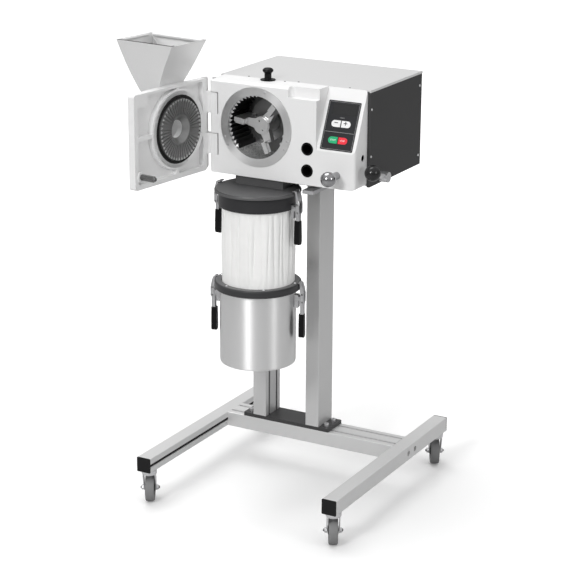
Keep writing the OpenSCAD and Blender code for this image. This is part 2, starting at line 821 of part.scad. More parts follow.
module side_panels() {
    low = casting_z - cover_sheet;
    high = housing_top - 2 * cover_sheet - seat_gap;
    color("dimgray") placed() difference() {
        union() {
            span([housing_left - side_panel_proud, cover_front, low],
                [housing_left - seat_gap, housing_back, high]);
            span([housing_right + seat_gap, cover_front, low],
                [housing_right + 2 * side_panel_proud, casting_back, high]);
            span([housing_right + side_panel_proud, casting_back - over, low],
                [housing_right + 2 * side_panel_proud, housing_back, high]);
        }
        bar_x(lever_y, lever_z, lever_shaft_d + 2 * fit_gap, housing_right, housing_right + 3 * side_panel_proud);
    }
}

// Half-oval button outline, round on its outer side
module button_outline(side, grow) {
    r = button_height / 2 + grow;
    inner = button_gap / 2 - grow;
    outer = button_gap / 2 + button_width - button_height / 2;
    scale([side, 1]) union() {
        translate([inner, -r]) square([outer - inner, 2 * r]);
        translate([outer, 0]) circle(r, $fn = 48);
    }
}

button_mid = membrane_left + membrane_width / 2;
button_rows = [membrane_foot + 26, membrane_foot + 68];
button_proud = membrane_proud + 0.6;
button_floor = button_travel + 0.2;

module button(side, row) {
    placed() on_slope() translate([button_mid, button_rows[row], -button_floor + button_travel + 0.1])
        linear_extrude(button_proud + 0.1) button_outline(side, 0);
}

module button_minus() { color("white") button(-1, 1); }
module button_plus() { color("white") button(1, 1); }
module button_start() { color("mediumseagreen") button(-1, 0); }
module button_stop() { color("crimson") button(1, 0); }

module control_panel() {
    color("darkslategray") placed() on_slope() difference() {
        translate([0, 0, -membrane_thick + membrane_proud]) linear_extrude(membrane_thick)
            rounded([membrane_left, membrane_foot],
                [membrane_left + membrane_width, membrane_foot + membrane_height], 3);
        for (row = [0, 1])
            for (side = [-1, 1])
                translate([button_mid, button_rows[row], -button_floor])
                    linear_extrude(membrane_thick) button_outline(side, free_gap);
        translate([0, 0, membrane_proud - 0.4]) linear_extrude(membrane_thick)
            rounded([membrane_left + 13, membrane_foot + 90],
                [membrane_left + membrane_width - 8, membrane_foot + 119], 2);
    }
}

// A sector of a thick tube about the chamber's axis, between two turns
module sector_tube(outer, inner, from, to, front, back) {
    steps = 24;
    reach = outer;
    translate([chamber_x, back, chamber_z]) rotate([90, 0, 0]) linear_extrude(back - front)
        difference() {
            intersection() {
                circle(d = outer, $fn = 128);
                polygon(concat([[0, 0]], [for (i = [0:steps])
                    reach * [cos(from + (to - from) * i / steps), sin(from + (to - from) * i / steps)]]));
            }
            circle(d = inner, $fn = 128);
        }
}

module chamber_ring() {
    screws = [74, 88, 200, 214, -16, -30];
    screw_r = 0.468 * chamber_ring_d;
    color("silver") placed() difference() {
        bar_y(chamber_x, chamber_z, chamber_ring_d, front_y - chamber_ring_proud, ring_back - seat_gap);
        bar_y(chamber_x, chamber_z, chamber_mouth_d, front_y - 2 * chamber_ring_proud, ring_back + over);
        for (a = screws)
            bar_y(chamber_x + screw_r * cos(a), chamber_z + screw_r * sin(a), 6, front_y - 2 * chamber_ring_proud,
                front_y + 2);
    }
}

// Cup behind the front ring, with the smooth liner on its right and the bearing tube behind
module chamber_shell() {
    outer = chamber_bore_d - 2 * seat_gap;
    color("slategray") placed() difference() {
        union() {
            bar_y(chamber_x, chamber_z, outer, ring_back, chamber_back + chamber_wall);
            bar_y(chamber_x, chamber_z, bearing_d + 14, chamber_back,
                chamber_back + chamber_wall + bearing_tube_length);
        }
        difference() {
            bar_y(chamber_x, chamber_z, outer - 2 * chamber_shell_thick, ring_back - over, chamber_back);
            sector_tube(outer, sieve_d, sieve_end + 1, teeth_start + 359, ring_back - 2 * over, chamber_back + over);
        }
        bar_y(chamber_x, chamber_z, shaft_d + 2, chamber_back - over, chamber_back + chamber_wall + over);
        bar_y(chamber_x, chamber_z, bearing_d + 2 * fit_gap, chamber_back + chamber_wall,
            chamber_back + chamber_wall + bearing_tube_length + over);
        span([chamber_x - outlet_width / 2, outlet_front, casting_z],
            [chamber_x + outlet_width / 2, outlet_front + outlet_depth, chamber_z - sieve_d / 3]);
    }
}

// Saw-toothed liner, from the top down the left side
module toothed_liner() {
    pitch = (teeth_end - teeth_start) / tooth_count;
    tip = tooth_tip_d / 2;
    root = tooth_root_d / 2;
    outer = liner_d / 2;
    arc = 24;
    color("dimgray") placed()
        translate([chamber_x, liner_back, chamber_z]) rotate([90, 0, 0])
            linear_extrude(liner_back - liner_front)
                polygon(concat(
                    [for (i = [0:tooth_count - 1]) for (k = [0, 1])
                        (k == 0 ? tip : root) * [cos(teeth_start + (i + 0.15 + 0.85 * k) * pitch),
                            sin(teeth_start + (i + 0.15 + 0.85 * k) * pitch)]],
                    [for (i = [0:arc]) outer * [cos(teeth_end - (teeth_end - teeth_start) * i / arc),
                        sin(teeth_end - (teeth_end - teeth_start) * i / arc)]]));
}

// Perforated bottom of the chamber
module sieve() {
    columns_of_holes = 9;
    rows_of_holes = 5;
    from = teeth_end + 1;
    to = sieve_end;
    flange = 5;
    inner = chamber_mouth_d + 3;
    color("gainsboro") placed() difference() {
        union() {
            sector_tube(inner + 2 * sieve_thick, inner, from, to, liner_front, liner_back);
            for (y = [liner_front, liner_back - flange])
                sector_tube(liner_d, inner, from, to, y, y + flange);
        }
        for (i = [0:columns_of_holes - 1])
            for (j = [0:rows_of_holes - 1])
                translate([chamber_x, liner_front + flange + (liner_back - liner_front - 2 * flange)
                    * (j + 0.5) / rows_of_holes, chamber_z])
                    rotate([0, 90 - (from + (to - from) * (i + 0.5) / columns_of_holes), 0])
                        translate([0, 0, inner / 2 - sieve_thick])
                            cylinder(h = 3 * sieve_thick, d = sieve_hole_d, $fn = 24);
    }
}

// Rotor: hub, arms and stepped beaters on a rear disc
module rotor() {
    root_width = 30;
    tip_width = 14;
    arm_end = rotor_d / 2 - beater_length / 2;
    beater_mid = (beater_front + beater_back) / 2;
    color("silver") placed() difference() {
        union() {
            bar_y(chamber_x, chamber_z, rotor_hub_d, hub_front, beater_back);
            bar_y(chamber_x, chamber_z, rotor_hub_d - 6, hub_front - 3, beater_back);
            bar_y(chamber_x, chamber_z, rear_disc_d, beater_back - 6, beater_back);
            for (k = [0:rotor_arms - 1])
                translate([chamber_x, 0, chamber_z]) rotate([0, -(rotor_phase + k * 360 / rotor_arms), 0]) {
                    translate([0, arm_front + arm_thick, 0]) rotate([90, 0, 0]) linear_extrude(arm_thick)
                        polygon([[0, -root_width / 2], [rotor_hub_d / 2, -root_width / 2.4],
                            [arm_end, -tip_width / 2], [arm_end, tip_width / 2],
                            [rotor_hub_d / 2, root_width / 2.4], [0, root_width / 2]]);
                    span([rotor_d / 2 - beater_length, beater_front, -beater_width / 2],
                        [rotor_d / 2 - 2, beater_mid, beater_width / 6]);
                    span([rotor_d / 2 - beater_length + 5, beater_front + 6, -beater_width / 2],
                        [rotor_d / 2 - 3, beater_back, beater_width / 2]);
                }
        }
        bar_y(chamber_x, chamber_z, shaft_d * 0.6, hub_front + 6, beater_back + over);
        for (side = [-1, 1])
            bar_y(chamber_x + side * 5, chamber_z - side * 11, 4.5, hub_front - 4, hub_front + 4);
    }
}

module rotor_shaft() {
    color("lightsteelblue") placed() union() {
        bar_y(chamber_x, chamber_z, shaft_d * 0.6 - 2 * fit_gap, hub_front + 6 + seat_gap, beater_back);
        bar_y(chamber_x, chamber_z, shaft_d - 2 * fit_gap, beater_back, motor_front + motor_length / 2);
    }
}

module shaft_bearings() {
    start = chamber_back + chamber_wall;
    color("lightgray") placed()
        for (y = [start, start + bearing_tube_length - bearing_width])
            difference() {
                bar_y(chamber_x, chamber_z, bearing_d, y, y + bearing_width);
                bar_y(chamber_x, chamber_z, shaft_d, y - over, y + bearing_width + over);
            }
}

// Drive motor on its foot, behind the chamber
module drive_motor() {
    back = motor_front + motor_length;
    foot = motor_d * 0.8;
    color("steelblue") placed() difference() {
        union() {
            bar_y(chamber_x, chamber_z, motor_d, motor_front, back - 10);
            bar_y(chamber_x, chamber_z, motor_d * 0.7, back - 10, back);
            span([chamber_x - foot / 2, motor_front + 15, casting_z],
                [chamber_x + foot / 2, back - 25, chamber_z - motor_d / 4]);
        }
        bar_y(chamber_x, chamber_z, shaft_d, motor_front - over, motor_front + motor_length / 2 + over);
    }
}

// Black bushes of the two front ports
module port_bushes() {
    depth = spindle_reach + 12;
    lip = 1;
    color("black") placed()
        for (z = [port_z, port_z + port_spacing])
            difference() {
                bar_y(port_x, z, port_d, front_y - lip, front_y + depth + 5);
                bar_y(port_x, z, port_bore_d, front_y - lip - over, front_y + depth);
            }
}

// Bright ball on a neck, which is pulled to free the lock
module lock_knob() {
    color("gainsboro") placed() union() {
        translate([lock_x, front_y - lock_knob_reach, lock_z]) sphere(d = lock_knob_d);
        bar_y(lock_x, lock_z, lock_neck_d, front_y - lock_knob_reach, casting_back - 10 - lock_travel);
    }
}

// Hub, shaft and arm of the closing lever
module lock_lever() {
    arm_d = 12;
    arm_length = lever_reach - lever_ball_d / 2 + 4;
    color("silver") placed() difference() {
        union() {
            bar_x(lever_y, lever_z, lever_hub_d, lever_x + free_gap, lever_x + lever_hub_length);
            bar_x(lever_y, lever_z, lever_shaft_d, lever_x - 96, lever_x + over);
            bar_x(lever_y, lever_z, lever_shaft_d * 1.6, lever_x - 96, lever_x - 80);
            on_lever() cylinder(h = arm_length, d1 = arm_d * 1.3, d2 = arm_d);
        }
        translate([lever_x + lever_hub_length - 1, lever_y, lever_z]) rotate([0, 90, 0])
            cylinder(h = 2, d = lever_hub_d / 3);
    }
}

// Frame of the lever's arm, with z along it
module on_lever() {
    translate([lever_x + lever_mid, lever_y, lever_z]) rotate([90 - lever_lift, 0, 0])
        rotate([0, lever_splay, 0]) children();
}

module lever_ball() {
    color("black") placed() on_lever() difference() {
            translate([0, 0, lever_reach]) sphere(d = lever_ball_d);
            cylinder(h = lever_reach - lever_ball_d / 2 + 4 + seat_gap, d = 12 * 1.3);
        }
}

module pull_knob() {
    r = pull_head_d / 2;
    stem = pull_stem_d / 2;
    height = pull_height;
    color("black") placed() translate([pull_x, pull_y, housing_top]) rotate_extrude()
        polygon([[0, -13], [stem / 2, -13], [stem / 2, free_gap], [pull_collar_d / 2, free_gap],
            [pull_collar_d / 2, free_gap + 2], [stem + 1, 3], [stem, 5], [stem, height - 14],
            [r - 2, height - 11], [r, height - 8], [r - 1, height - 4], [r - 5, height - 1], [0, height]]);
}

module hinge_pin() {
    color("gainsboro") placed() translate([pin_x, pin_y, casting_z + 10]) union() {
        cylinder(h = housing_height - 10, d = pin_d);
        translate([0, 0, housing_height - 10]) cylinder(h = 1, d = pin_d + 3);
    }
}

// Frame of the door, which swings about its pin
module on_door() {
    placed() translate([pin_x, pin_y, 0]) rotate(door_turn) children();
}

// Outline drawn in the door's plane (along, up), given a thickness between two depths
module door_slab(back, front) {
    translate([0, front, 0]) rotate([90, 0, 0]) linear_extrude(front - back) children();
}

// The four pockets of the door's inner face
module door_pockets() {
    far = door_reach - door_rim;
    near = door_hinge_edge + door_rim + 2;
    low = door_z + door_rim;
    high = door_top - door_rim / 2;
    rib_z = chamber_z;
    step_u = door_eye + boss_d / 2 + door_rib;
    r = 6;
    difference() {
        union() {
            rounded([door_eye, rib_z + door_rib / 2], [far - notch_width / 2, high], r);
            rounded([door_eye, rib_z + door_rib / 2], [far, high - 27], r);
            rounded([door_eye + door_rib, low], [far, rib_z - door_rib / 2], r);
            rounded([near, low], [door_eye, knuckle_z[0] + knuckle_height / 2 - door_rib / 2], r);
            rounded([near, knuckle_z[0] + knuckle_height / 2 + door_rib / 2], [door_eye, high], r);
        }
        translate([door_eye, chamber_z]) circle(d = boss_d, $fn = 128);
        translate([door_eye - door_rib / 2, chamber_z]) square([door_rib, door_height / 2]);
    }
}

module door() {
    color("whitesmoke") on_door() difference() {
        union() {
            door_slab(door_outer, door_inner) rounded([door_hinge_edge, door_z], [door_reach, door_top], door_corner);
            door_slab(door_outer, door_outer + door_skin)
                rounded([-pin_depth, door_z], [door_reach, door_top], door_corner);
            for (z = knuckle_z)
                translate([0, 0, z - knuckle_height / 2]) linear_extrude(knuckle_height) knuckle_outline();
            bar_y(spindle_u, port_z, spindle_boss_d, door_outer, door_inner + 2);
        }
        difference() {
            door_slab(door_outer + door_skin, door_inner + over) door_pockets();
            bar_y(spindle_u, port_z, spindle_boss_d, door_outer, door_inner + 2);
        }
        for (z = knuckle_z)
            translate([0, 0, z - knuckle_height / 2 - over])
                cylinder(h = knuckle_height + 2 * over, d = pin_d + 2 * fit_gap);
        bar_y(door_eye, chamber_z, inlet_back_d, door_outer - over, door_inner + over);
        bar_y(door_eye, chamber_z, door_ring_d + 2 * seat_gap, door_inner - 8, door_inner + over);
        bar_y(spindle_u, port_z, spindle_flats * 0.7, door_outer + door_skin, door_inner + 3);
    }
}

// Plan of a knuckle: barrel about the pin, square lug and web to the door
module knuckle_outline() {
    barrel = pin_depth - free_gap;
    circle(barrel, $fn = 64);
    // The lug lies flush with the casting's front face while the door stands open
    rotate(-door_turn) translate([0, -barrel]) square([lug_reach, barrel]);
    polygon([[-barrel * 0.7, -barrel * 0.72], [-barrel * 0.5, door_outer + door_skin / 2],
        [door_hinge_edge + door_rim + 4, door_outer + door_skin / 2],
        [door_hinge_edge + door_rim + 4, door_inner], [lug_reach, -pin_depth - 2 * free_gap],
        [barrel * 0.8, -barrel * 0.6]]);
}

module door_ring() {
    color("silver") on_door() difference() {
        bar_y(door_eye, chamber_z, door_ring_d, door_inner - 8 + seat_gap, door_inner + 1.4);
        bar_y(door_eye, chamber_z, seal_d + 2 * seat_gap, door_inner - 9, door_inner + 3);
        screw_r = (door_ring_d + seal_d) / 4;
        for (a = [20, 110, 165, 195, 250, 300])
            bar_y(door_eye + screw_r * cos(a), chamber_z + screw_r * sin(a), 4, door_inner - 1, door_inner + 3);
    }
}

module door_seal() {
    color("black") on_door() difference() {
        bar_y(door_eye, chamber_z, seal_d, door_inner - 8 + seat_gap, door_inner + 2);
        bar_y(door_eye, chamber_z, seal_d - 2 * seal_width, door_inner - 9, door_inner + 3);
    }
}

// Serrated insert round the inlet
module serrated_insert() {
    front = door_inner + insert_proud;
    back = door_inner - 8 + seat_gap;
    lip = 3;
    color("slategray") on_door() difference() {
        union() {
            bar_y(door_eye, chamber_z, insert_d, back, front);
        }
        translate([door_eye, back, chamber_z]) rotate([-90, 0, 0])
            translate([0, 0, -over]) cylinder(h = front - back + 2 * over, d1 = inlet_back_d, d2 = inlet_front_d);
        for (i = [0:insert_grooves - 1])
            translate([door_eye, front - 3, chamber_z]) rotate([0, i * 360 / insert_grooves, 0])
                span([inlet_front_d / 2 + lip, 0, -1], [insert_d / 2 + over, 5, 1]);
    }
}

module lock_spindle() {
    across = spindle_flats / cos(30);
    color("gainsboro") on_door() union() {
        bar_y(spindle_u, port_z, spindle_flats * 0.7 - 2 * fit_gap, door_outer + door_skin + seat_gap,
            door_inner + 4);
        translate([spindle_u, door_inner + 2 + seat_gap, port_z]) rotate([-90, 0, 0])
            cylinder(h = spindle_reach - 6, d = across, $fn = 6);
        translate([spindle_u, door_inner + spindle_reach - 4, port_z]) rotate([-90, 0, 0])
            cylinder(h = 5, d1 = spindle_flats, d2 = spindle_flats * 0.6);
    }
}

// Side view of the hopper (away from the door, up), shrunk by a wall
module hopper_side(wall) {
    lift = wall > 0 ? over : 0;
    polygon([[rim_inner - wall, rim_z + lift], [wall_line - wall, door_top + over + wall],
        [wall_line - wall, throat_bottom + wall], [wall_line - throat_depth + wall / 2, throat_bottom + wall],
        [rim_outer + wall, rim_z + lift]]);
}

// Front view of the hopper (along the door, up), shrunk by a wall
module hopper_front(wall) {
    steps = 6;
    lift = wall > 0 ? over : 0;
    top = hopper_width / 2 - wall;
    bottom = throat_width / 2 - wall;
    throat_top = chamber_z + throat_width;
    side = [for (i = [0:steps]) [bottom + (top - bottom) * (i / steps + 0.2 * sin(180 * i / steps)),
        throat_top + (rim_z + lift - throat_top) * i / steps]];
    polygon(concat([[bottom, throat_bottom + wall]], side,
        [for (i = [0:steps]) [-side[steps - i][0], side[steps - i][1]]], [[-bottom, throat_bottom + wall]]));
}

module hopper_body(wall) {
    intersection() {
        rotate([90, 0, 90]) linear_extrude(2 * door_eye) hopper_side(wall);
        translate([door_eye, -rim_outer, 0]) rotate([90, 0, 0])
            linear_extrude(2 * hopper_length + 2 * pin_depth) hopper_front(wall);
    }
}

module hopper() {
    plate = 3;
    plate_half = 44;
    color("gainsboro") on_door() difference() {
        union() {
            hopper_body(0);
            door_slab(wall_line - plate, wall_line)
                rounded([door_eye - plate_half, throat_bottom - 12], [door_eye + plate_half, chamber_z + plate_half], 6);
        }
        hopper_body(hopper_sheet);
        bar_y(door_eye, chamber_z, inlet_back_d, wall_line - plate - over, wall_line + over);
    }
}

// Dark frame between the casting and the collector's lid
module outlet_coupling() {
    margin = (coupling_width - outlet_width) / 2;
    color("dimgray") placed() difference() {
        span([chamber_x - coupling_width / 2, outlet_front - 12, casting_z - coupling_height],
            [chamber_x + coupling_width / 2, casting_back, casting_z]);
        span([chamber_x - outlet_width / 2, outlet_front, casting_z - coupling_height - over],
            [chamber_x + coupling_width / 2 - margin, outlet_front + outlet_depth, casting_z + over]);
    }
}

module at_collector() {
    placed() translate([collector_x, collector_y, 0]) children();
}

module collector_lid() {
    lip = 4;
    color("dimgray") placed() difference() {
        translate([collector_x, collector_y, lid_z]) union() {
            cylinder(h = lid_thick - lip, d = lid_d, $fn = 128);
            cylinder(h = lid_thick, d1 = lid_d - 2, d2 = lid_d - 8, $fn = 128);
        }
        span([chamber_x - outlet_width / 2, outlet_front, lid_z - over],
            [chamber_x + outlet_width / 2, outlet_front + outlet_depth, lid_z + lid_thick + over]);
    }
}

module upper_ring() {
    outer = upper_ring_d / 2;
    color("dimgray") at_collector() translate([0, 0, upper_ring_z]) rotate_extrude($fn = 128)
        polygon([[clamp_bore_d / 2, 0], [outer - 1, 0], [outer, 1], [outer, upper_ring_height - 4],
            [outer - 3, upper_ring_height - 3], [outer - 3, upper_ring_height], [shelf_d / 2, upper_ring_height],
            [shelf_d / 2, clamp_depth + 4], [clamp_bore_d / 2, clamp_depth]]);
}

module lower_ring() {
    outer = lower_ring_d / 2;
    color("dimgray") at_collector() translate([0, 0, lower_ring_z]) rotate_extrude($fn = 128)
        polygon([[shelf_d / 2, 0], [outer - 2, 0], [outer, 2], [outer, lower_ring_height - 4],
            [outer - 5, lower_ring_height], [clamp_bore_d / 2, lower_ring_height],
            [clamp_bore_d / 2, clamp_depth], [shelf_d / 2, clamp_depth - 4]]);
}

// Cloth tube that hangs between the rings, gathered into soft upright folds
module filter_sleeve() {
    around = 56;
    rings = 9;
    low = lower_ring_z + clamp_depth + free_gap;
    high = upper_ring_z + clamp_depth - free_gap;
    held = (clamp_depth + 1) / (high - low);
    // The ends stay round in their clamp rings, and the folds grow between them
    function rise(j) = j == 0 ? 0 : j == rings ? 1 : held + (1 - 2 * held) * (j - 1) / (rings - 2);
    function swell(t) = max(0, sin(180 * (t - held) / (1 - 2 * held)));
    function fold(a, t) = swell(t) * (0.6 * cos(9 * a + 40 * t) + 0.4 * cos(14 * a - 70 * t));
    function cloth_r(a, t, in) = sleeve_d / 2 + sleeve_fold * fold(a, t) - in;
    function cloth(in) = [for (j = [0:rings]) for (i = [0:around - 1])
        let (a = 360 * i / around, t = rise(j))
            [cloth_r(a, t, in) * cos(a), cloth_r(a, t, in) * sin(a), low + (high - low) * t]];
    count = around * (rings + 1);
    function at(j, i, k) = k * count + j * around + i % around;
    walls = [for (j = [0:rings - 1]) for (i = [0:around - 1])
        each [[at(j, i, 0), at(j + 1, i, 0), at(j, i + 1, 0)], [at(j + 1, i, 0), at(j + 1, i + 1, 0), at(j, i + 1, 0)],
            [at(j, i, 1), at(j, i + 1, 1), at(j + 1, i, 1)], [at(j + 1, i, 1), at(j, i + 1, 1), at(j + 1, i + 1, 1)]]];
    ends = [for (i = [0:around - 1])
        each [[at(0, i, 0), at(0, i + 1, 0), at(0, i, 1)], [at(0, i + 1, 0), at(0, i + 1, 1), at(0, i, 1)],
            [at(rings, i, 0), at(rings, i, 1), at(rings, i + 1, 0)],
            [at(rings, i + 1, 0), at(rings, i, 1), at(rings, i + 1, 1)]]];
    color("white") at_collector() polyhedron(points = concat(cloth(0), cloth(sleeve_cloth)), faces = concat(walls, ends));
}

module vessel() {
    r = vessel_d / 2;
    foot = 6;
    color("silver") at_collector() translate([0, 0, vessel_z]) rotate_extrude($fn = 128)
        polygon([[0, 0], [r - foot, 0], [r - 1, 2], [r, foot], [r, vessel_height], [r - vessel_sheet, vessel_height],
            [r - vessel_sheet, foot + vessel_sheet], [r - foot, 2 + vessel_sheet], [0, 2 + vessel_sheet]]);
}

// Frame of one latch: x outwards, y along its pivot, z up, with the pivot at the origin
module at_latch(turn, low) {
    at_collector() rotate(turn) translate([low ? lower_latch_r : upper_latch_r, 0,
        low ? lower_latch_z : upper_latch_z]) children();
}

function latch_turns(low) = low ? [lower_latch_turn, 180 + lower_latch_turn] : [0, 180];

// Foot on the wall behind, with two ears and the pivot pin
module latch_base(back) {
    foot_low = -26;
    foot_high = 8;
    plate_front = -7;
    ear_low = -7;
    ear_high = latch_pin_d;
    span([back, -latch_ear - ear_thick, foot_low], [plate_front, latch_ear + ear_thick, foot_high]);
    for (side = [-1, 1])
        span([plate_front - over, side > 0 ? latch_ear : -latch_ear - ear_thick, ear_low],
            [latch_pin_d, side > 0 ? latch_ear + ear_thick : -latch_ear, ear_high]);
    rotate([90, 0, 0]) translate([0, 0, -latch_ear - ear_thick])
        cylinder(h = 2 * (latch_ear + ear_thick), d = latch_pin_d, $fn = 32);
}

module latch_bases() {
    color("silver") {
        for (turn = latch_turns(false))
            at_latch(turn, false) latch_base(upper_ring_d / 2 + seat_gap - upper_latch_r);
        for (turn = latch_turns(true))
            at_latch(turn, true) latch_base(vessel_d / 2 + seat_gap - lower_latch_r);
    }
}

// Latch lever: barrel on the pin, metal tongue, bail lugs and black grip
module latch_lever() {
    w = latch_width / 2;
    tongue = 2;
    grip_top = -latch_metal;
    grip_half = latch_grip_width / 2;
    lug_r = bail_wire * 1.3;
    difference() {
        union() {
            rotate([90, 0, 0]) translate([0, 0, -w]) cylinder(h = latch_width, d = 2 * latch_pin_d, $fn = 48);
            span([-tongue, -w, grip_top - 3 * tongue], [tongue, w, 0]);
            for (side = [-1, 1])
                translate([0, side > 0 ? w : lug_thick - w, 0]) rotate([90, 0, 0]) linear_extrude(lug_thick) {
                    polygon([[0, latch_pin_d], [latch_pin_d, 0], [bail_pin[0] + lug_r, bail_pin[1]],
                        [bail_pin[0], bail_pin[1] - lug_r], [0, bail_pin[1] - 2 * lug_r]]);
                    translate(bail_pin) circle(lug_r, $fn = 32);
                }
            translate([1, 0, grip_top - latch_grip]) rotate([90, 0, 90]) translate([0, 0, -7])
                linear_extrude(14) polygon([[-grip_half * 0.5, 0], [grip_half * 0.5, 0], [grip_half * 0.9, 4],
                    [grip_half, 10], [grip_half * 0.78, latch_grip], [-grip_half * 0.78, latch_grip],
                    [-grip_half, 10], [-grip_half * 0.9, 4]]);
        }
        rotate([90, 0, 0]) translate([0, 0, -w - over])
            cylinder(h = latch_width + 2 * over, d = latch_pin_d + 2 * fit_gap, $fn = 32);
        translate([bail_pin[0], w + over, bail_pin[1]]) rotate([90, 0, 0])
            cylinder(h = latch_width + 2 * over, d = bail_wire + 2 * fit_gap, $fn = 32);
    }
}

module latch_upper_right() { color("dimgray") at_latch(latch_turns(false)[0], false) latch_lever(); }
module latch_upper_left() { color("dimgray") at_latch(latch_turns(false)[1], false) latch_lever(); }
module latch_lower_right() { color("dimgray") at_latch(latch_turns(true)[0], true) latch_lever(); }
module latch_lower_left() { color("dimgray") at_latch(latch_turns(true)[1], true) latch_lever(); }

// A round wire between two points of the latch's side view, at one place across it
module wire(from, to, y) {
    run = to - from;
    translate([from[0], y, from[1]]) rotate([0, atan2(run[0], run[1]), 0])
        cylinder(h = norm(run), d = bail_wire, $fn = 32);
}

// Wire bail: ends in the lever's lugs, two sides outside the ears and a bar over the rim
module latch_bail() {
    side_y = latch_ear + ear_thick + free_gap + bail_wire / 2;
    inner_y = latch_width / 2 - lug_thick;
    for (side = [-1, 1]) {
        translate([bail_pin[0], side > 0 ? side_y + bail_wire / 2 : -inner_y, bail_pin[1]]) rotate([90, 0, 0])
            cylinder(h = side_y - inner_y + bail_wire / 2, d = bail_wire, $fn = 32);
        translate([bail_knee[0], side * side_y + bail_wire * 0.6, bail_knee[1]]) rotate([90, 0, 0])
            cylinder(h = bail_wire * 1.2, d = bail_wire * 1.1, $fn = 32);
        wire(bail_pin, bail_knee, side * side_y);
        wire(bail_knee, bail_bar, side * side_y);
    }
    translate([bail_bar[0], side_y + bail_wire / 2, bail_bar[1]]) rotate([90, 0, 0])
        cylinder(h = 2 * side_y + bail_wire, d = bail_wire, $fn = 32);
}

module bail_upper_right() { color("silver") at_latch(latch_turns(false)[0], false) latch_bail(); }
module bail_upper_left() { color("silver") at_latch(latch_turns(false)[1], false) latch_bail(); }
module bail_lower_right() { color("silver") at_latch(latch_turns(true)[0], true) latch_bail(); }
module bail_lower_left() { color("silver") at_latch(latch_turns(true)[1], true) latch_bail(); }

legs();
leg_end_caps();
cross_member();
corner_brackets();
stand_screws();
base_plate();
columns();
top_plate();
castor_fork_front_left();
castor_fork_front_right();
castor_fork_rear_left();
castor_fork_rear_right();
castor_wheel_front_left();
castor_wheel_front_right();
castor_wheel_rear_left();
castor_wheel_rear_right();
base_pan();
front_casting();
top_cover();
side_panels();
control_panel();
button_minus();
button_plus();
button_start();
button_stop();
chamber_ring();
chamber_shell();
toothed_liner();
sieve();
rotor();
rotor_shaft();
shaft_bearings();
drive_motor();
port_bushes();
lock_knob();
lock_lever();
lever_ball();
pull_knob();
hinge_pin();
door();
door_ring();
door_seal();
serrated_insert();
lock_spindle();
hopper();
outlet_coupling();
collector_lid();
upper_ring();
filter_sleeve();
lower_ring();
vessel();
latch_bases();
latch_upper_right();
latch_upper_left();
latch_lower_right();
latch_lower_left();
bail_upper_right();
bail_upper_left();
bail_lower_right();
bail_lower_left();
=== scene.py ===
import json
import math

import bpy
from mathutils import Matrix, Vector


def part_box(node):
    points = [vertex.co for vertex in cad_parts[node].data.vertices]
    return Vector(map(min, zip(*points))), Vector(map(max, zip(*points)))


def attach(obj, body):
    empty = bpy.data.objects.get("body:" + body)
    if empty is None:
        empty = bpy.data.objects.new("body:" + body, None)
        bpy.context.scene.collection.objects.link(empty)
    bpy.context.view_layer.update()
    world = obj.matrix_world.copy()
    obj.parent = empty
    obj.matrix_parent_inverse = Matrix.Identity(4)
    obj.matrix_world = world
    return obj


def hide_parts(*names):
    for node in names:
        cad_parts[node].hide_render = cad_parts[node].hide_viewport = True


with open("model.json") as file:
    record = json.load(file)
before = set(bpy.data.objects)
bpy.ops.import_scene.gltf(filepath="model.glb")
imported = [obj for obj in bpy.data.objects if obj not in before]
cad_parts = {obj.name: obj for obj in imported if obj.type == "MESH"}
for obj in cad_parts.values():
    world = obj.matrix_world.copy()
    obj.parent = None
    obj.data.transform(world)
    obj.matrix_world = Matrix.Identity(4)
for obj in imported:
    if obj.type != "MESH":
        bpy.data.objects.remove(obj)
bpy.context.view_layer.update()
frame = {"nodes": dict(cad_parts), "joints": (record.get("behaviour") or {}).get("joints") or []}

# The mill's own sizes are written in millimetres and set down in metres.
MM = 0.001

bpy.context.scene.view_settings.view_transform = "Standard"

# The middle of the cross member is the point that the stand is measured from.
beam_low, beam_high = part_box("cross_member")
STAND_MIDDLE = Vector(((beam_low.x + beam_high.x) / 2, (beam_low.y + beam_high.y) / 2, 0))


def at(x, y, z):
    """A point of the mill, in millimetres from the stand's middle and the floor."""
    return STAND_MIDDLE + Vector((x, y, z)) * MM


def joint_place(name):
    found = [j for j in frame["joints"] if j["name"] == name][0]
    return Vector(found["pos_m"])


# Places of the CAD that the added pieces follow: the housing, the grinding chamber's axis, the collector's
# axis, the slanted control face and the open door with its eye's distance from the hinge
HOUSING_FRONT = -200
HOUSING_TOP = 1111
RIGHT_PANEL_X, LEFT_PANEL_X = 219, -213
CHAMBER_X, CHAMBER_Z = -70.6, 998.5
COLLECTOR_Y = -190
CONTROL_FOOT = at(0, HOUSING_FRONT, 960)
CONTROL_RISE, CONTROL_RUN = 151, 66
CONTROL_TURN = math.atan2(CONTROL_RISE, CONTROL_RUN)
DOOR_TURN = math.radians(-97)
DOOR_EYE = 128.4

FACING_FRONT = Matrix.Rotation(math.pi / 2, 4, "X")
FACING_RIGHT = Matrix.Rotation(math.pi / 2, 4, "Y")
FACING_LEFT = Matrix.Rotation(-math.pi / 2, 4, "Y")
UPSIDE_DOWN = Matrix.Rotation(math.pi, 4, "X")

# Radius, in millimetres, that closes the middle of a lathe piece without a hole
CLOSED = 0.02


def on_circle(r, degrees):
    return r * math.cos(math.radians(degrees)), r * math.sin(math.radians(degrees))


def facing_front(x, y, z):
    """Frame on the front, with z towards the viewer."""
    return Matrix.Translation(at(x, y, z)) @ FACING_FRONT


def at_side(side, distance, x=0.0, y=0.0):
    """Place of a lathe piece on one side of a plane: its foot at the distance, its head away from it."""
    place = Matrix.Translation(Vector((x, y, side * distance)) * MM)
    return place if side > 0 else place @ UPSIDE_DOWN


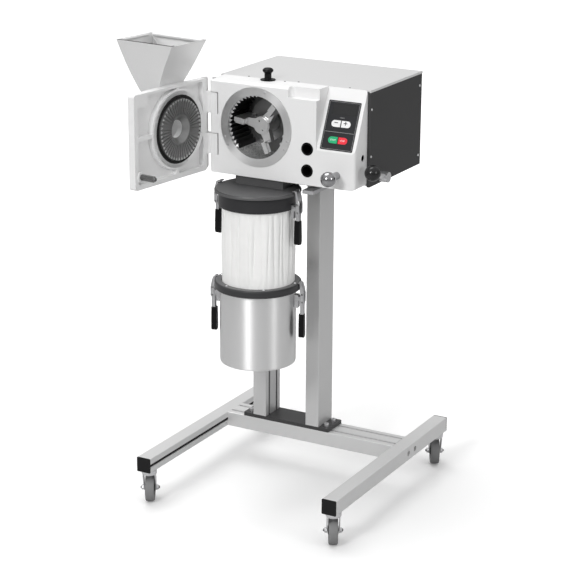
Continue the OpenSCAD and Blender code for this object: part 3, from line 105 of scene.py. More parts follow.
def on_control_face(x, up, out=0.0):
    """Frame of the slanted control face: x across, y up the slope, z out of it."""
    turn = Matrix.Rotation(CONTROL_TURN, 4, "X")
    return Matrix.Translation(CONTROL_FOOT) @ turn @ Matrix.Translation(Vector((x, up, out)) * MM)


def on_door(along, out, z):
    """Frame on the open door's inner face, with z towards the chamber."""
    hinge = joint_place("door_hinge")
    run = Vector((math.cos(DOOR_TURN), math.sin(DOOR_TURN), 0))
    inward = Vector((-math.sin(DOOR_TURN), math.cos(DOOR_TURN), 0))
    place = Vector((hinge.x, hinge.y, 0)) + (run * along + inward * out) * MM + Vector((0, 0, z * MM))
    axes = Matrix((-run, Vector((0, 0, 1)), inward)).transposed().to_4x4()
    return Matrix.Translation(place) @ axes


def on_collector(turn, radius, z):
    """Frame on the collector: x outwards, z up."""
    middle = Matrix.Translation(at(CHAMBER_X, COLLECTOR_Y, z)) @ Matrix.Rotation(math.radians(turn), 4, "Z")
    return middle @ Matrix.Translation(Vector((radius * MM, 0, 0)))


# Modelling helpers, one for each way that the pieces are made

def nothing_selected():
    if bpy.context.object and bpy.context.object.mode != "OBJECT":
        bpy.ops.object.mode_set(mode="OBJECT")
    bpy.ops.object.select_all(action="DESELECT")


def only_selected(piece):
    nothing_selected()
    piece.select_set(True)
    bpy.context.view_layer.objects.active = piece


WELD = 0.00001


def turned(name, rings, sides=48, wall=False):
    """A lathe piece about Z. rings are (radius, height); wall closes the last ring on the first."""
    nothing_selected()
    radius, height = rings[0]
    bpy.ops.mesh.primitive_circle_add(vertices=sides, radius=radius * MM, location=(0, 0, 0),
                                      fill_type="NOTHING" if wall else "NGON")
    piece = bpy.context.object
    piece.name = name
    bpy.ops.object.mode_set(mode="EDIT")
    bpy.ops.mesh.select_all(action="SELECT")
    bpy.ops.transform.translate(value=(0, 0, height * MM))
    for next_radius, next_height in rings[1:] + ([rings[0]] if wall else []):
        rise = (0, 0, (next_height - height) * MM)
        bpy.ops.mesh.extrude_region_move(TRANSFORM_OT_translate={"value": rise})
        if next_radius != radius:
            grow = next_radius / radius
            bpy.ops.transform.resize(value=(grow, grow, 1), center_override=(0, 0, next_height * MM))
        radius, height = next_radius, next_height
    bpy.ops.mesh.select_all(action="SELECT")
    if wall:
        bpy.ops.mesh.remove_doubles(threshold=WELD)
    bpy.ops.mesh.normals_make_consistent(inside=False)
    bpy.ops.object.mode_set(mode="OBJECT")
    return piece


def plate(name, outline, thick):
    """A flat piece in XY with its outline in millimetres, raised by its thickness."""
    nothing_selected()
    bpy.ops.mesh.primitive_circle_add(vertices=len(outline), radius=MM, fill_type="NGON", location=(0, 0, 0))
    piece = bpy.context.object
    piece.name = name
    for corner, (x, y) in zip(piece.data.vertices, outline):
        corner.co = Vector((x, y, 0)) * MM
    bpy.ops.object.mode_set(mode="EDIT")
    bpy.ops.mesh.select_all(action="SELECT")
    bpy.ops.mesh.extrude_region_move(TRANSFORM_OT_translate={"value": (0, 0, thick * MM)})
    bpy.ops.mesh.select_all(action="SELECT")
    bpy.ops.mesh.normals_make_consistent(inside=False)
    bpy.ops.object.mode_set(mode="OBJECT")
    return piece


def rounded_outline(x0, y0, x1, y1, r, steps=6):
    """Outline of a rectangle with round corners, anticlockwise, for plate and for rod."""
    corners = [(x1 - r, y1 - r, 0), (x0 + r, y1 - r, 90), (x0 + r, y0 + r, 180), (x1 - r, y0 + r, 270)]
    outline = []
    for cx, cy, start in corners:
        for k in range(steps + 1):
            x, y = on_circle(r, start + 90 * k / steps)
            outline.append((cx + x, cy + y))
    return outline


def rod(name, points, thick, sides=12, loop=False):
    """A round wire or lip along points, given in metres."""
    curve = bpy.data.curves.new(name, "CURVE")
    curve.dimensions = "3D"
    curve.bevel_depth = thick / 2 * MM
    curve.bevel_resolution = max(0, sides // 4 - 1)
    curve.use_fill_caps = True
    line = curve.splines.new("POLY")
    line.points.add(len(points) - 1)
    for knot, p in zip(line.points, points):
        knot.co = (*p, 1)
    line.use_cyclic_u = loop
    piece = bpy.data.objects.new(name, curve)
    bpy.context.scene.collection.objects.link(piece)
    only_selected(piece)
    bpy.ops.object.convert(target="MESH")
    return bpy.context.object


def bevelled(piece, width, segments=2, angle=35):
    """Rounds the edges that turn by more than the angle."""
    edge = piece.modifiers.new("Rounded edges", "BEVEL")
    edge.width = width * MM
    edge.segments = segments
    edge.limit_method = "ANGLE"
    edge.angle_limit = math.radians(angle)
    only_selected(piece)
    bpy.ops.object.modifier_apply(modifier=edge.name)
    return piece


def thickened(piece, thick, offset):
    """Gives a sheet its wall: offset 0 grows it both ways, -1 inwards."""
    wall = piece.modifiers.new("Sheet", "SOLIDIFY")
    wall.thickness = thick
    wall.offset = offset
    only_selected(piece)
    bpy.ops.object.modifier_apply(modifier=wall.name)
    return piece


def smoothed(piece, angle=35):
    """Shades smoothly, apart from the edges that turn by more than the angle."""
    only_selected(piece)
    bpy.ops.object.shade_smooth_by_angle(angle=math.radians(angle))
    return piece


def joined(name, pieces):
    """Makes one piece of several, under the given name."""
    nothing_selected()
    for p in pieces:
        p.select_set(True)
    bpy.context.view_layer.objects.active = pieces[0]
    if len(pieces) > 1:
        bpy.ops.object.join()
    pieces[0].name = name
    return pieces[0]


def copies(name, pattern, places):
    """One modelled piece copied to each place, every copy with its own mesh, then joined."""
    made = []
    for place in places:
        one = pattern.copy()
        one.data = pattern.data.copy()
        bpy.context.scene.collection.objects.link(one)
        one.data.transform(place)
        made.append(one)
    return joined(name, made)


def fitted(piece, body, material, angle=35):
    """Hands a finished piece over: its look, its smooth shading and the body that carries it."""
    piece.data.materials.clear()
    piece.data.materials.append(material)
    smoothed(piece, angle)
    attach(piece, body)
    return piece


# Shader nodes and the groups for the effects that several finishes share

def add_node(tree, kind, inputs=None, **settings):
    """A new node with its settings. Each input is given a value, or is linked where that is a socket."""
    made = tree.nodes.new("ShaderNode" + kind)
    for name, value in settings.items():
        setattr(made, name, value)
    for socket, value in (inputs or {}).items():
        if isinstance(value, bpy.types.NodeSocket):
            tree.links.new(value, made.inputs[socket])
        else:
            made.inputs[socket].default_value = value
    return made


def group_of(name, inputs, outputs):
    """An empty node group with its input and output nodes."""
    tree = bpy.data.node_groups.new(name, "ShaderNodeTree")
    for label, kind in inputs:
        tree.interface.new_socket(name=label, in_out="INPUT", socket_type=kind)
    for label in outputs:
        tree.interface.new_socket(name=label, in_out="OUTPUT", socket_type="NodeSocketFloat")
    return tree, tree.nodes.new("NodeGroupInput"), tree.nodes.new("NodeGroupOutput")


# How much of a grain's shade is the slow cloudiness
CLOUD_SHARE = 0.3


def make_grain_group():
    """Fine speckle of a powder coat or a moulded surface, with slow cloudiness under it."""
    tree, given, result = group_of("Coat grain", [
        ("Vector", "NodeSocketVector"), ("Grains per metre", "NodeSocketFloat")], ["Height", "Shade"])
    fine = add_node(tree, "TexNoise", {"Detail": 3, "Vector": given.outputs["Vector"],
                                       "Scale": given.outputs["Grains per metre"]})
    slow = add_node(tree, "TexNoise", {"Scale": 7, "Detail": 4, "Vector": given.outputs["Vector"]})
    blend = add_node(tree, "Mix", {0: CLOUD_SHARE, 2: fine.outputs["Fac"], 3: slow.outputs["Fac"]})
    tree.links.new(fine.outputs["Fac"], result.inputs["Height"])
    tree.links.new(blend.outputs[0], result.inputs["Shade"])
    return tree


def make_brush_group():
    """Long thin scratches of a brushed or turned surface: the vector comes in already stretched."""
    tree, given, result = group_of("Brush lines", [("Vector", "NodeSocketVector")], ["Lines", "Bands"])
    vector = given.outputs["Vector"]
    lines = add_node(tree, "TexNoise", {"Scale": 1, "Detail": 6, "Roughness": 0.7, "Vector": vector})
    bands = add_node(tree, "TexNoise", {"Scale": 0.08, "Detail": 2, "Vector": vector})
    tree.links.new(lines.outputs["Fac"], result.inputs["Lines"])
    tree.links.new(bands.outputs["Fac"], result.inputs["Bands"])
    return tree


def make_weave_group():
    """Plain weave of the filter cloth, over its own unrolled map."""
    tree, given, result = group_of("Filter weave", [
        ("Vector", "NodeSocketVector"), ("Threads", "NodeSocketFloat")], ["Height"])
    threads = [add_node(tree, "TexWave", {"Distortion": 0.6, "Detail": 1, "Vector": given.outputs["Vector"],
                                          "Scale": given.outputs["Threads"]}, bands_direction=direction)
               for direction in ("X", "Y")]
    over = add_node(tree, "Math", {0: threads[0].outputs["Fac"], 1: threads[1].outputs["Fac"]},
                    operation="MULTIPLY")
    tree.links.new(over.outputs[0], result.inputs["Height"])
    return tree


GRAIN = make_grain_group()
BRUSH = make_brush_group()
WEAVE = make_weave_group()

# The shader's unit for turning a brushed gleam is one full turn
QUARTER_TURN = 0.25


def bare_material(name, colour, roughness, metallic=0.0):
    material = bpy.data.materials.new(name)
    material.use_nodes = True
    shader = material.node_tree.nodes["Principled BSDF"]
    shader.inputs["Base Color"].default_value = (*colour, 1)
    shader.inputs["Roughness"].default_value = roughness
    shader.inputs["Metallic"].default_value = metallic
    return material, material.node_tree, shader


def glossed(tree, shader, value, low, high):
    """Lets the roughness follow a noise, whose middle half is mapped into a narrow range."""
    span = add_node(tree, "MapRange",
                    {"Value": value, "From Min": 0.25, "From Max": 0.75, "To Min": low, "To Max": high})
    tree.links.new(span.outputs["Result"], shader.inputs["Roughness"])


def tinted(tree, shader, value, dark, light):
    """Lets the colour follow a value, from dark at 0 to light at 1."""
    mix = add_node(tree, "Mix", data_type="RGBA")
    mix.inputs[6].default_value = (*dark, 1)
    mix.inputs[7].default_value = (*light, 1)
    tree.links.new(value, mix.inputs[0])
    tree.links.new(mix.outputs[2], shader.inputs["Base Color"])


def raised(tree, shader, height, strength, distance):
    bump = add_node(tree, "Bump", {"Strength": strength, "Distance": distance, "Height": height})
    tree.links.new(bump.outputs["Normal"], shader.inputs["Normal"])


def grey(level):
    return level, level, level


def darker(colour, share):
    return tuple(c * share for c in colour)


def coated(name, colour, roughness, grains=900.0, bump=0.1, metallic=0.0, contrast=0.06, shine=0.5):
    """Powder coat, anodising or moulded plastic: fine grain and a little cloudiness."""
    material, tree, shader = bare_material(name, colour, roughness, metallic)
    place = add_node(tree, "TexCoord")
    grain = add_node(tree, "Group", {"Vector": place.outputs["Object"], "Grains per metre": grains},
                     node_tree=GRAIN)
    tinted(tree, shader, grain.outputs["Shade"], darker(colour, 1 - contrast), darker(colour, 1 + contrast))
    glossed(tree, shader, grain.outputs["Shade"], roughness * 0.9, min(1, roughness * 1.1))
    raised(tree, shader, grain.outputs["Height"], bump, 0.4 * MM)
    shader.inputs["Specular IOR Level"].default_value = shine
    return material


def scratched(tree, shader, vector, colour, roughness, contrast, patchy, strength, depth):
    """Brush lines in the colour and the relief of a metal, and broader bands in its roughness."""
    lines = add_node(tree, "Group", {"Vector": vector}, node_tree=BRUSH)
    tinted(tree, shader, lines.outputs["Lines"], darker(colour, 1 - contrast),
           darker(colour, 1 + contrast / 2))
    glossed(tree, shader, lines.outputs["Bands"], roughness * (1 - patchy), roughness * (1 + patchy))
    raised(tree, shader, lines.outputs["Lines"], strength, depth)


def brushed(name, colour, roughness, stretch, contrast=0.12, bump=0.06, patchy=0.05, metallic=1.0):
    """Brushed metal: stretch is how fast the pattern changes along each axis, per metre."""
    material, tree, shader = bare_material(name, colour, roughness, metallic)
    place = add_node(tree, "TexCoord")
    comb = add_node(tree, "Mapping", {"Vector": place.outputs["Object"], "Scale": stretch})
    scratched(tree, shader, comb.outputs["Vector"], colour, roughness, contrast, patchy, bump, 0.3 * MM)
    return material


def lathe_marked(name, colour, roughness, centre, axis, pitch=0.9 * MM, contrast=0.12, patchy=0.04):
    """Metal turned or brushed round an axis: fine rings about a centre."""
    material, tree, shader = bare_material(name, colour, roughness, 1.0)
    place = add_node(tree, "TexCoord")
    middle = add_node(tree, "Mapping", {"Vector": place.outputs["Object"], "Location": -centre},
                      vector_type="POINT")
    parts = add_node(tree, "SeparateXYZ", {"Vector": middle.outputs["Vector"]})
    squares = [add_node(tree, "Math", {0: parts.outputs[across], 1: 2}, operation="POWER")
               for across in "XYZ" if across != axis]
    total = add_node(tree, "Math", {0: squares[0].outputs[0], 1: squares[1].outputs[0]})
    root = add_node(tree, "Math", {0: total.outputs[0]}, operation="SQRT")
    both = add_node(tree, "CombineXYZ", {"X": root.outputs[0], "Y": parts.outputs[axis]})
    comb = add_node(tree, "Mapping", {"Vector": both.outputs["Vector"], "Scale": (1 / pitch, 1 / pitch, 1)})
    scratched(tree, shader, comb.outputs["Vector"], colour, roughness, contrast, patchy, 0.05, 0.2 * MM)
    return material


# Half the width over which the painted light and shade changes from one tone to the other
TONE_EDGE = 0.4 * MM


def painted_light_split(name, far, near, axis, edge, roughness=0.36, metallic=0.9, shine=0.5):
    """Painted light and shade: a colour that changes at one height or depth, near up to the edge, far beyond
    it.
    """
    material, tree, shader = bare_material(name, far, roughness, metallic)
    place = add_node(tree, "TexCoord")
    parts = add_node(tree, "SeparateXYZ", {"Vector": place.outputs["Object"]})
    beyond = add_node(tree, "MapRange", {"Value": parts.outputs[axis], "From Min": edge - TONE_EDGE,
                                         "From Max": edge + TONE_EDGE})
    grain = add_node(tree, "Group", {"Vector": place.outputs["Object"], "Grains per metre": 500},
                     node_tree=GRAIN)
    tinted(tree, shader, beyond.outputs["Result"], near, far)
    glossed(tree, shader, grain.outputs["Shade"], roughness * 0.85, roughness * 1.15)
    raised(tree, shader, grain.outputs["Height"], 0.1, 0.3 * MM)
    shader.inputs["Specular IOR Level"].default_value = shine
    return material


def filter_cloth(name, colour, roughness):
    """Woven cloth on its own unrolled map."""
    material, tree, shader = bare_material(name, colour, roughness)
    place = add_node(tree, "UVMap")
    cloud = add_node(tree, "TexNoise", {"Vector": place.outputs["UV"], "Scale": 9, "Detail": 3})
    weave = add_node(tree, "Group", {"Vector": place.outputs["UV"], "Threads": 90}, node_tree=WEAVE)
    tinted(tree, shader, cloud.outputs["Fac"], darker(colour, 0.97), darker(colour, 1.02))
    glossed(tree, shader, cloud.outputs["Fac"], roughness * 0.92, roughness * 1.05)
    raised(tree, shader, weave.outputs["Height"], 0.12, 0.3 * MM)
    shader.inputs["Specular IOR Level"].default_value = 0.15
    return material


# Axes that the turned finishes run round
chamber_axis = at(CHAMBER_X, HOUSING_FRONT, CHAMBER_Z)
collector_axis = at(CHAMBER_X, COLLECTOR_Y, 0)
door_eye_axis = on_door(DOOR_EYE, -14, CHAMBER_Z).to_translation()

# Painted light: the lying legs and cross member get a lighter grey than the upright columns of the same
# profile, standing in for their lit tops.
ANODISED_PAINTED_LIT = brushed("Anodised profile", grey(0.78), 0.42, (900, 6, 900), contrast=0.04, bump=0.03,
                   metallic=0.5)
ANODISED_X_PAINTED_LIT = brushed("Anodised profile across", grey(0.80), 0.42, (6, 900, 900), contrast=0.04, bump=0.03,
                     metallic=0.5)
ANODISED_Z = brushed("Anodised profile upright", grey(0.70), 0.42, (900, 900, 6), contrast=0.04, bump=0.03,
                     metallic=0.5)
# Partly painted shade: the milled plate's own tone is darkened for the shade that falls on it under the
# casting.
MILLED_PLATE_PAINTED_SHADE = brushed("Milled plate with painted shade", (0.52, 0.52, 0.53), 0.35, (8, 700, 700), contrast=0.05, bump=0.03,
                       metallic=0.7)
BRUSHED_COVER = brushed("Brushed cover", grey(0.84), 0.36, (14, 1500, 1500), contrast=0.02, bump=0.01,
                        patchy=0.01, metallic=0.5)
HOPPER_STEEL = brushed("Hopper sheet", grey(0.82), 0.42, (900, 900, 12), contrast=0.02, bump=0.015,
                       patchy=0.02, metallic=0.5)
# Painted shade: a darker copy of the hopper sheet for the divider and slide inside the hopper.
HOPPER_DIVIDER_PAINTED_SHADE = brushed("Hopper divider with painted shade", grey(0.58), 0.42, (900, 900, 12), contrast=0.03, bump=0.015,
                         patchy=0.02, metallic=0.4)
WHITE_COAT = coated("White coat", grey(0.84), 0.42, grains=1400, bump=0.05, contrast=0.015)
DARK_COAT = coated("Dark textured coat", (0.049, 0.049, 0.050), 0.58, grains=620, bump=0.45, contrast=0.4,
                   shine=0.3)
PAN_COAT = coated("Dark pan coat", (0.018, 0.018, 0.019), 0.6, grains=900, bump=0.2, contrast=0.2, shine=0.2)
PLATE_BLACK = coated("Blackened plate", (0.050, 0.050, 0.051), 0.45, grains=700, bump=0.12, contrast=0.2,
                     shine=0.4)
RING_BLACK = coated("Black anodised ring", (0.028, 0.028, 0.030), 0.40, grains=1200, bump=0.06,
                    contrast=0.12, shine=0.3)
LID_BLACK = coated("Satin lid", (0.095, 0.095, 0.097), 0.45, grains=1200, bump=0.06, contrast=0.10)
MOULDED_BLACK = coated("Moulded black", (0.004, 0.004, 0.0045), 0.38, grains=1600, bump=0.08, contrast=0.2,
                       shine=0.15)
CAP_BLACK = coated("End cap black", (0.010, 0.010, 0.0105), 0.5, grains=1200, bump=0.15, contrast=0.2,
                   shine=0.2)
BALL_BLACK = coated("Polished black ball", (0.006, 0.006, 0.0065), 0.22, grains=500, bump=0.0, contrast=0.1)
TYRE_GREY = coated("Tyre rubber", (0.23, 0.23, 0.232), 0.6, grains=800, bump=0.12, contrast=0.1)
HUB_BLACK = coated("Wheel hub", (0.025, 0.025, 0.027), 0.45, grains=900, bump=0.1, contrast=0.15)
SEAL_RUBBER = coated("Seal rubber", grey(0.012), 0.6, grains=1100, bump=0.1, contrast=0.2, shine=0.2)
ZINC = coated("Bright zinc", (0.76, 0.76, 0.77), 0.30, grains=900, bump=0.03, contrast=0.04, metallic=0.9)
LATCH_ZINC = coated("Latch zinc", (0.50, 0.50, 0.51), 0.30, grains=160, bump=0.05, contrast=0.14,
                    metallic=0.95)
NUT_STEEL = coated("Nut steel", grey(0.22), 0.35, grains=900, bump=0.05, contrast=0.1, metallic=0.9)
POLISHED = coated("Polished steel", (0.36, 0.36, 0.37), 0.14, grains=120, bump=0.0, contrast=0.03,
                  metallic=1.0)
DOOR_RING_STEEL = lathe_marked("Bright door ring", grey(0.86), 0.34, door_eye_axis, "Y", contrast=0.04)
LEVER_ZINC = coated("Lever zinc", (0.68, 0.68, 0.69), 0.30, grains=1500, bump=0.0, contrast=0.02,
                    metallic=0.9)
GROUND_STEEL = brushed("Ground steel", grey(0.55), 0.34, (500, 500, 90), contrast=0.12)
INSERT_STEEL = brushed("Cut insert", grey(0.30), 0.40, (500, 500, 90), contrast=0.15, metallic=0.9)
SPINDLE_STEEL = brushed("Spindle steel", grey(0.20), 0.22, (90, 500, 500), contrast=0.15)
DARK_STEEL = coated("Darkened steel", grey(0.16), 0.42, grains=600, bump=0.12, contrast=0.2, metallic=0.8)
SIEVE_STEEL = coated("Sieve steel", grey(0.60), 0.36, grains=700, bump=0.05, contrast=0.06, metallic=0.7)
FLANGE_STEEL = lathe_marked("Turned flange", grey(0.80), 0.30, chamber_axis, "Y", contrast=0.10)
VESSEL_STEEL = lathe_marked("Brushed vessel", grey(0.90), 0.42, collector_axis, "Z", contrast=0.04)
MEMBRANE = coated("Membrane film", (0.024, 0.0245, 0.027), 0.36, grains=1500, bump=0.03, contrast=0.1,
                  shine=0.2)
WINDOW_FILM = coated("Display window", (0.030, 0.030, 0.031), 0.25, grains=300, bump=0.0, contrast=0.1,
                     shine=0.2)
PRINT_GREY = coated("Printed grey", grey(0.30), 0.4, grains=1500, bump=0.0, contrast=0.03)
PRINT_WHITE = coated("Printed white", grey(0.85), 0.4, grains=1500, bump=0.0, contrast=0.02)
PRINT_BLACK = coated("Printed black", grey(0.02), 0.4, grains=1500, bump=0.0, contrast=0.05)
KEY_WHITE = coated("White key film", grey(0.85), 0.35, grains=1500, bump=0.02, contrast=0.02)
KEY_GREEN = coated("Green key film", (0.004, 0.42, 0.17), 0.4, grains=1500, bump=0.02, contrast=0.03)
KEY_RED = coated("Red key film", (0.85, 0.018, 0.040), 0.4, grains=1500, bump=0.02, contrast=0.03)
MOTOR_PAINT = coated("Motor paint", (0.10, 0.13, 0.17), 0.45, grains=600, bump=0.1, contrast=0.1)


# Painted light and shade, bright or black up to these places and the other tone beyond: the teeth's lit front
# faces with black painted shade behind them, the beaters' lit front with painted shade deeper in the chamber,
# and a painted highlight on the clamp ring's top edge
liner_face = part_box("toothed_liner")[0].y + 0.6 * MM
beater_face = at(0, -119, 0).y
clamp_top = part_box("lower_ring")[1].z - 1.2 * MM
FILTER_CLOTH = filter_cloth("Filter cloth", (0.93, 0.93, 0.92), 0.9)
# Painted light: the teeth's front faces are painted bright, and everything behind them is painted black as
# shade.
LINER_PAINTED_LIGHT = painted_light_split("Liner steel with painted light", grey(0.10), grey(0.85), "Y", liner_face)
# Painted shade: the rotor is light in front of the beaters' face and dark behind it, deeper in the chamber.
ROTOR_PAINTED_SHADE = painted_light_split("Rotor steel with painted shade", grey(0.22), grey(0.68), "Y", beater_face, roughness=0.34)
# Painted highlight: the clamp ring's band above its top edge is lighter than its black side.
CLAMP_PAINTED_HIGHLIGHT = painted_light_split("Clamp ring with painted highlight", (0.12, 0.12, 0.122), (0.028, 0.028, 0.030), "Z", clamp_top,
                        metallic=0.0)


def gleaming_round(material, strength):
    """Draws the highlight out across the brush lines."""
    shader = material.node_tree.nodes["Principled BSDF"]
    shader.inputs["Anisotropic"].default_value = strength
    shader.inputs["Anisotropic Rotation"].default_value = QUARTER_TURN
    return shader


gleaming_round(VESSEL_STEEL, 0.85)
flange_shader = gleaming_round(FLANGE_STEEL, 0.8)
round_the_ring = add_node(FLANGE_STEEL.node_tree, "Tangent", direction_type="RADIAL", axis="Y")
FLANGE_STEEL.node_tree.links.new(round_the_ring.outputs["Tangent"], flange_shader.inputs["Tangent"])

NODE_LOOKS = {}
for finish, nodes in (
        (ANODISED_PAINTED_LIT, "legs"), (ANODISED_X_PAINTED_LIT, "cross_member"), (ANODISED_Z, "columns"),
        (CAP_BLACK, "leg_end_caps"), (ZINC, "corner_brackets stand_screws shaft_bearings hinge_pin"),
        (PLATE_BLACK, "base_plate"), (MILLED_PLATE_PAINTED_SHADE, "top_plate"), (PAN_COAT, "base_pan"),
        (WHITE_COAT, "front_casting door"),
        (BRUSHED_COVER, "top_cover"), (DARK_COAT, "side_panels"), (MEMBRANE, "control_panel"),
        (KEY_WHITE, "button_minus button_plus"), (KEY_GREEN, "button_start"), (KEY_RED, "button_stop"),
        (FLANGE_STEEL, "chamber_ring"), (DARK_STEEL, "chamber_shell"), (LINER_PAINTED_LIGHT, "toothed_liner"),
        (SIEVE_STEEL, "sieve"), (ROTOR_PAINTED_SHADE, "rotor"), (GROUND_STEEL, "rotor_shaft"),
        (MOTOR_PAINT, "drive_motor"), (MOULDED_BLACK, "port_bushes pull_knob"), (POLISHED, "lock_knob"),
        (LEVER_ZINC, "lock_lever"), (BALL_BLACK, "lever_ball"), (DOOR_RING_STEEL, "door_ring"),
        (SEAL_RUBBER, "door_seal"), (INSERT_STEEL, "serrated_insert"), (SPINDLE_STEEL, "lock_spindle"),
        (HOPPER_STEEL, "hopper"), (LID_BLACK, "outlet_coupling collector_lid"), (RING_BLACK, "upper_ring"),
        (FILTER_CLOTH, "filter_sleeve"), (CLAMP_PAINTED_HIGHLIGHT, "lower_ring"), (VESSEL_STEEL, "vessel"),
        (LATCH_ZINC, "latch_bases")):
    for node in nodes.split():
        NODE_LOOKS[node] = finish
CORNERS = ("front_left", "front_right", "rear_left", "rear_right")
for corner in CORNERS:
    NODE_LOOKS["castor_fork_" + corner] = ZINC
    NODE_LOOKS["castor_wheel_" + corner] = TYRE_GREY
for place in ("upper_right", "upper_left", "lower_right", "lower_left"):
    NODE_LOOKS["latch_" + place] = ZINC
    NODE_LOOKS["bail_" + place] = ZINC
for node, material in NODE_LOOKS.items():
    for slot in frame["nodes"][node].material_slots:
        slot.material = material


# Screws

def socket_head(name, diameter, height):
    """Cap screw head with its socket, seated at zero and facing up."""
    r = diameter / 2
    return turned(name, [(r, 0), (r, height * 0.85), (r * 0.94, height), (r * 0.52, height),
                         (r * 0.50, height * 0.45), (CLOSED, height * 0.4)], sides=24)


def dome_head(name, diameter, height):
    """Low domed screw head with a small socket."""
    r = diameter / 2
    return turned(name, [(r, 0), (r * 0.96, height * 0.35), (r * 0.8, height * 0.75),
                         (r * 0.5, height * 0.97), (r * 0.42, height), (r * 0.36, height * 0.5),
                         (CLOSED, height * 0.45)], sides=20)


def screws(name, pattern, places, body="frame", material=ZINC):
    fitted(copies(name, pattern, places), body, material)


def put_away(*patterns):
    """Removes the pieces that were only copied from."""
    for pattern in patterns:
        bpy.data.objects.remove(pattern)


cap_screw = socket_head("cap_screw_pattern", 8, 4)
small_dome = dome_head("dome_screw_pattern", 6.5, 2)
flat_screw = dome_head("flat_screw_pattern", 5.5, 0.9)

# Housing: screws of the crown, of the side panels and of the chamber's ring
CROWN_SCREWS = ((-133, -128), (-21, -140), (12, -128), (158, -129))
RIGHT_SCREWS = ((-127, 1062), (-127, 942), (150, 1075), (150, 890))
LEFT_SCREWS = ((-127, 1075), (-127, 890), (150, 1075), (150, 890))
RING_SCREWS = (74, 88, 200, 214, -16, -30)
RING_SCREW_R, RING_FACE_Y = 96, -200.6
LINER_SCREWS = (-12, -28)
LINER_SCREW_R, LINER_FACE_Y = 78, -189


def round_chamber(r, degrees, y):
    x, z = on_circle(r, degrees)
    return facing_front(CHAMBER_X + x, y, CHAMBER_Z + z)


screws("crown_screws", flat_screw, [Matrix.Translation(at(x, y, HOUSING_TOP)) for x, y in CROWN_SCREWS],
       material=DARK_STEEL)
screws("side_panel_screws", small_dome,
       [Matrix.Translation(at(RIGHT_PANEL_X, y, z)) @ FACING_RIGHT for y, z in RIGHT_SCREWS]
       + [Matrix.Translation(at(LEFT_PANEL_X, y, z)) @ FACING_LEFT for y, z in LEFT_SCREWS])
screws("ring_screws", flat_screw, [round_chamber(RING_SCREW_R, a, RING_FACE_Y) for a in RING_SCREWS])
screws("liner_screws", cap_screw, [round_chamber(LINER_SCREW_R, a, LINER_FACE_Y) for a in LINER_SCREWS])

# Door: screws of the metal ring
DOOR_SCREWS = (20, 110, 165, 195, 250, 300)
DOOR_SCREW_R, DOOR_RING_FACE = 90.5, -13.1
door_places = []
for degrees in DOOR_SCREWS:
    u, z = on_circle(DOOR_SCREW_R, degrees)
    door_places.append(on_door(DOOR_EYE + u, DOOR_RING_FACE, CHAMBER_Z + z))
screws("door_ring_screws", flat_screw, door_places, "door")

# Collector: six screws down into the lower clamp ring
CLAMP_SCREW_R, CLAMP_TOP_Z = 102.5, 595.5
screws("lower_ring_screws", small_dome,
       [on_collector(a, CLAMP_SCREW_R, CLAMP_TOP_Z) for a in range(-52, 308, 60)])
put_away(cap_screw, small_dome, flat_screw)


# Stand: painted shade, black strips sunk in the open slots of the legs and the columns for the shade in them
SLOT_SHADE_SECTION = ((-4, 0), (4, 0), (4, 1.3), (3.1, 1.3), (2.7, 0.7), (-2.7, 0.7), (-3.1, 1.3), (-4, 1.3))
SLOT_SHADE_DEPTH = 4.3 * MM
PROFILE = 40 * MM


def slot_shade_strip(name, place, outwards, along, length):
    """A shallow black channel strip, painted shade for the slot: it faces outwards and runs along the slot
    from its place.
    """
    strip = plate(name, SLOT_SHADE_SECTION, length / MM)
    across = outwards.cross(along)
    strip.data.transform(Matrix.Translation(place - outwards * SLOT_SHADE_DEPTH)
                         @ Matrix((across, outwards, along)).transposed().to_4x4())
    return strip


legs_low, legs_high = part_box("legs")
columns_low, columns_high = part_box("columns")
strips = []
for side in (-1, 1):
    inward = Vector((-side, 0, 0))
    edge = (legs_low.x if side < 0 else legs_high.x) + inward.x * PROFILE
    start = Vector((edge, legs_low.y, (legs_low.z + legs_high.z) / 2))
    strips.append(slot_shade_strip("leg_slot_shade", start, inward, Vector((0, 1, 0)), legs_high.y - legs_low.y))
    edge = (columns_low.x if side < 0 else columns_high.x) + inward.x * PROFILE
    for row in (-1, 1):
        start = Vector((edge, (columns_low.y + columns_high.y + row * PROFILE) / 2, columns_low.z))
        strips.append(slot_shade_strip("column_slot_shade", start, inward, Vector((0, 0, 1)),
                                  columns_high.z - columns_low.z))
fitted(joined("slot_shade_strips", strips), "frame", CAP_BLACK)


# Castors: tyre and hub in place of each wheel, the swivel's crown and the axle's nuts
CASTOR_HEADING = math.radians(119)
CROWN_TOP = 99.7 * MM
AXLE_END = 20.4
TYRE_RINGS = [(27.5, -10), (31, -12), (34, -12), (36.3, -10.5), (37.2, -7.5), (37.5, 0), (37.2, 7.5),
              (36.3, 10.5), (34, 12), (31, 12), (27.5, 10)]
HUB_RINGS = [(4.2, -13.6), (10, -13.6), (11.5, -12.5), (12.5, -6), (24.5, -4.5), (26.2, -9.5), (27.6, -9.5),
             (27.6, 9.5), (26.2, 9.5), (24.5, 4.5), (12.5, 6), (11.5, 12.5), (10, 13.6), (4.2, 13.6)]
CROWN_RINGS = [(13, 0.3), (17.5, 0.3), (20.0, -1.0), (20.3, -2.4), (19.9, -3.6), (19.9, -8.2), (20.2, -9.2),
               (19.7, -10.4), (16, -11.2), (13, -11.2)]
NUT_RINGS = [(5.2, 0), (5.2, 1.2), (3.9, 1.4), (3.9, 3.2), (3.1, 4.6), (1.6, 5.4), (CLOSED, 5.6)]


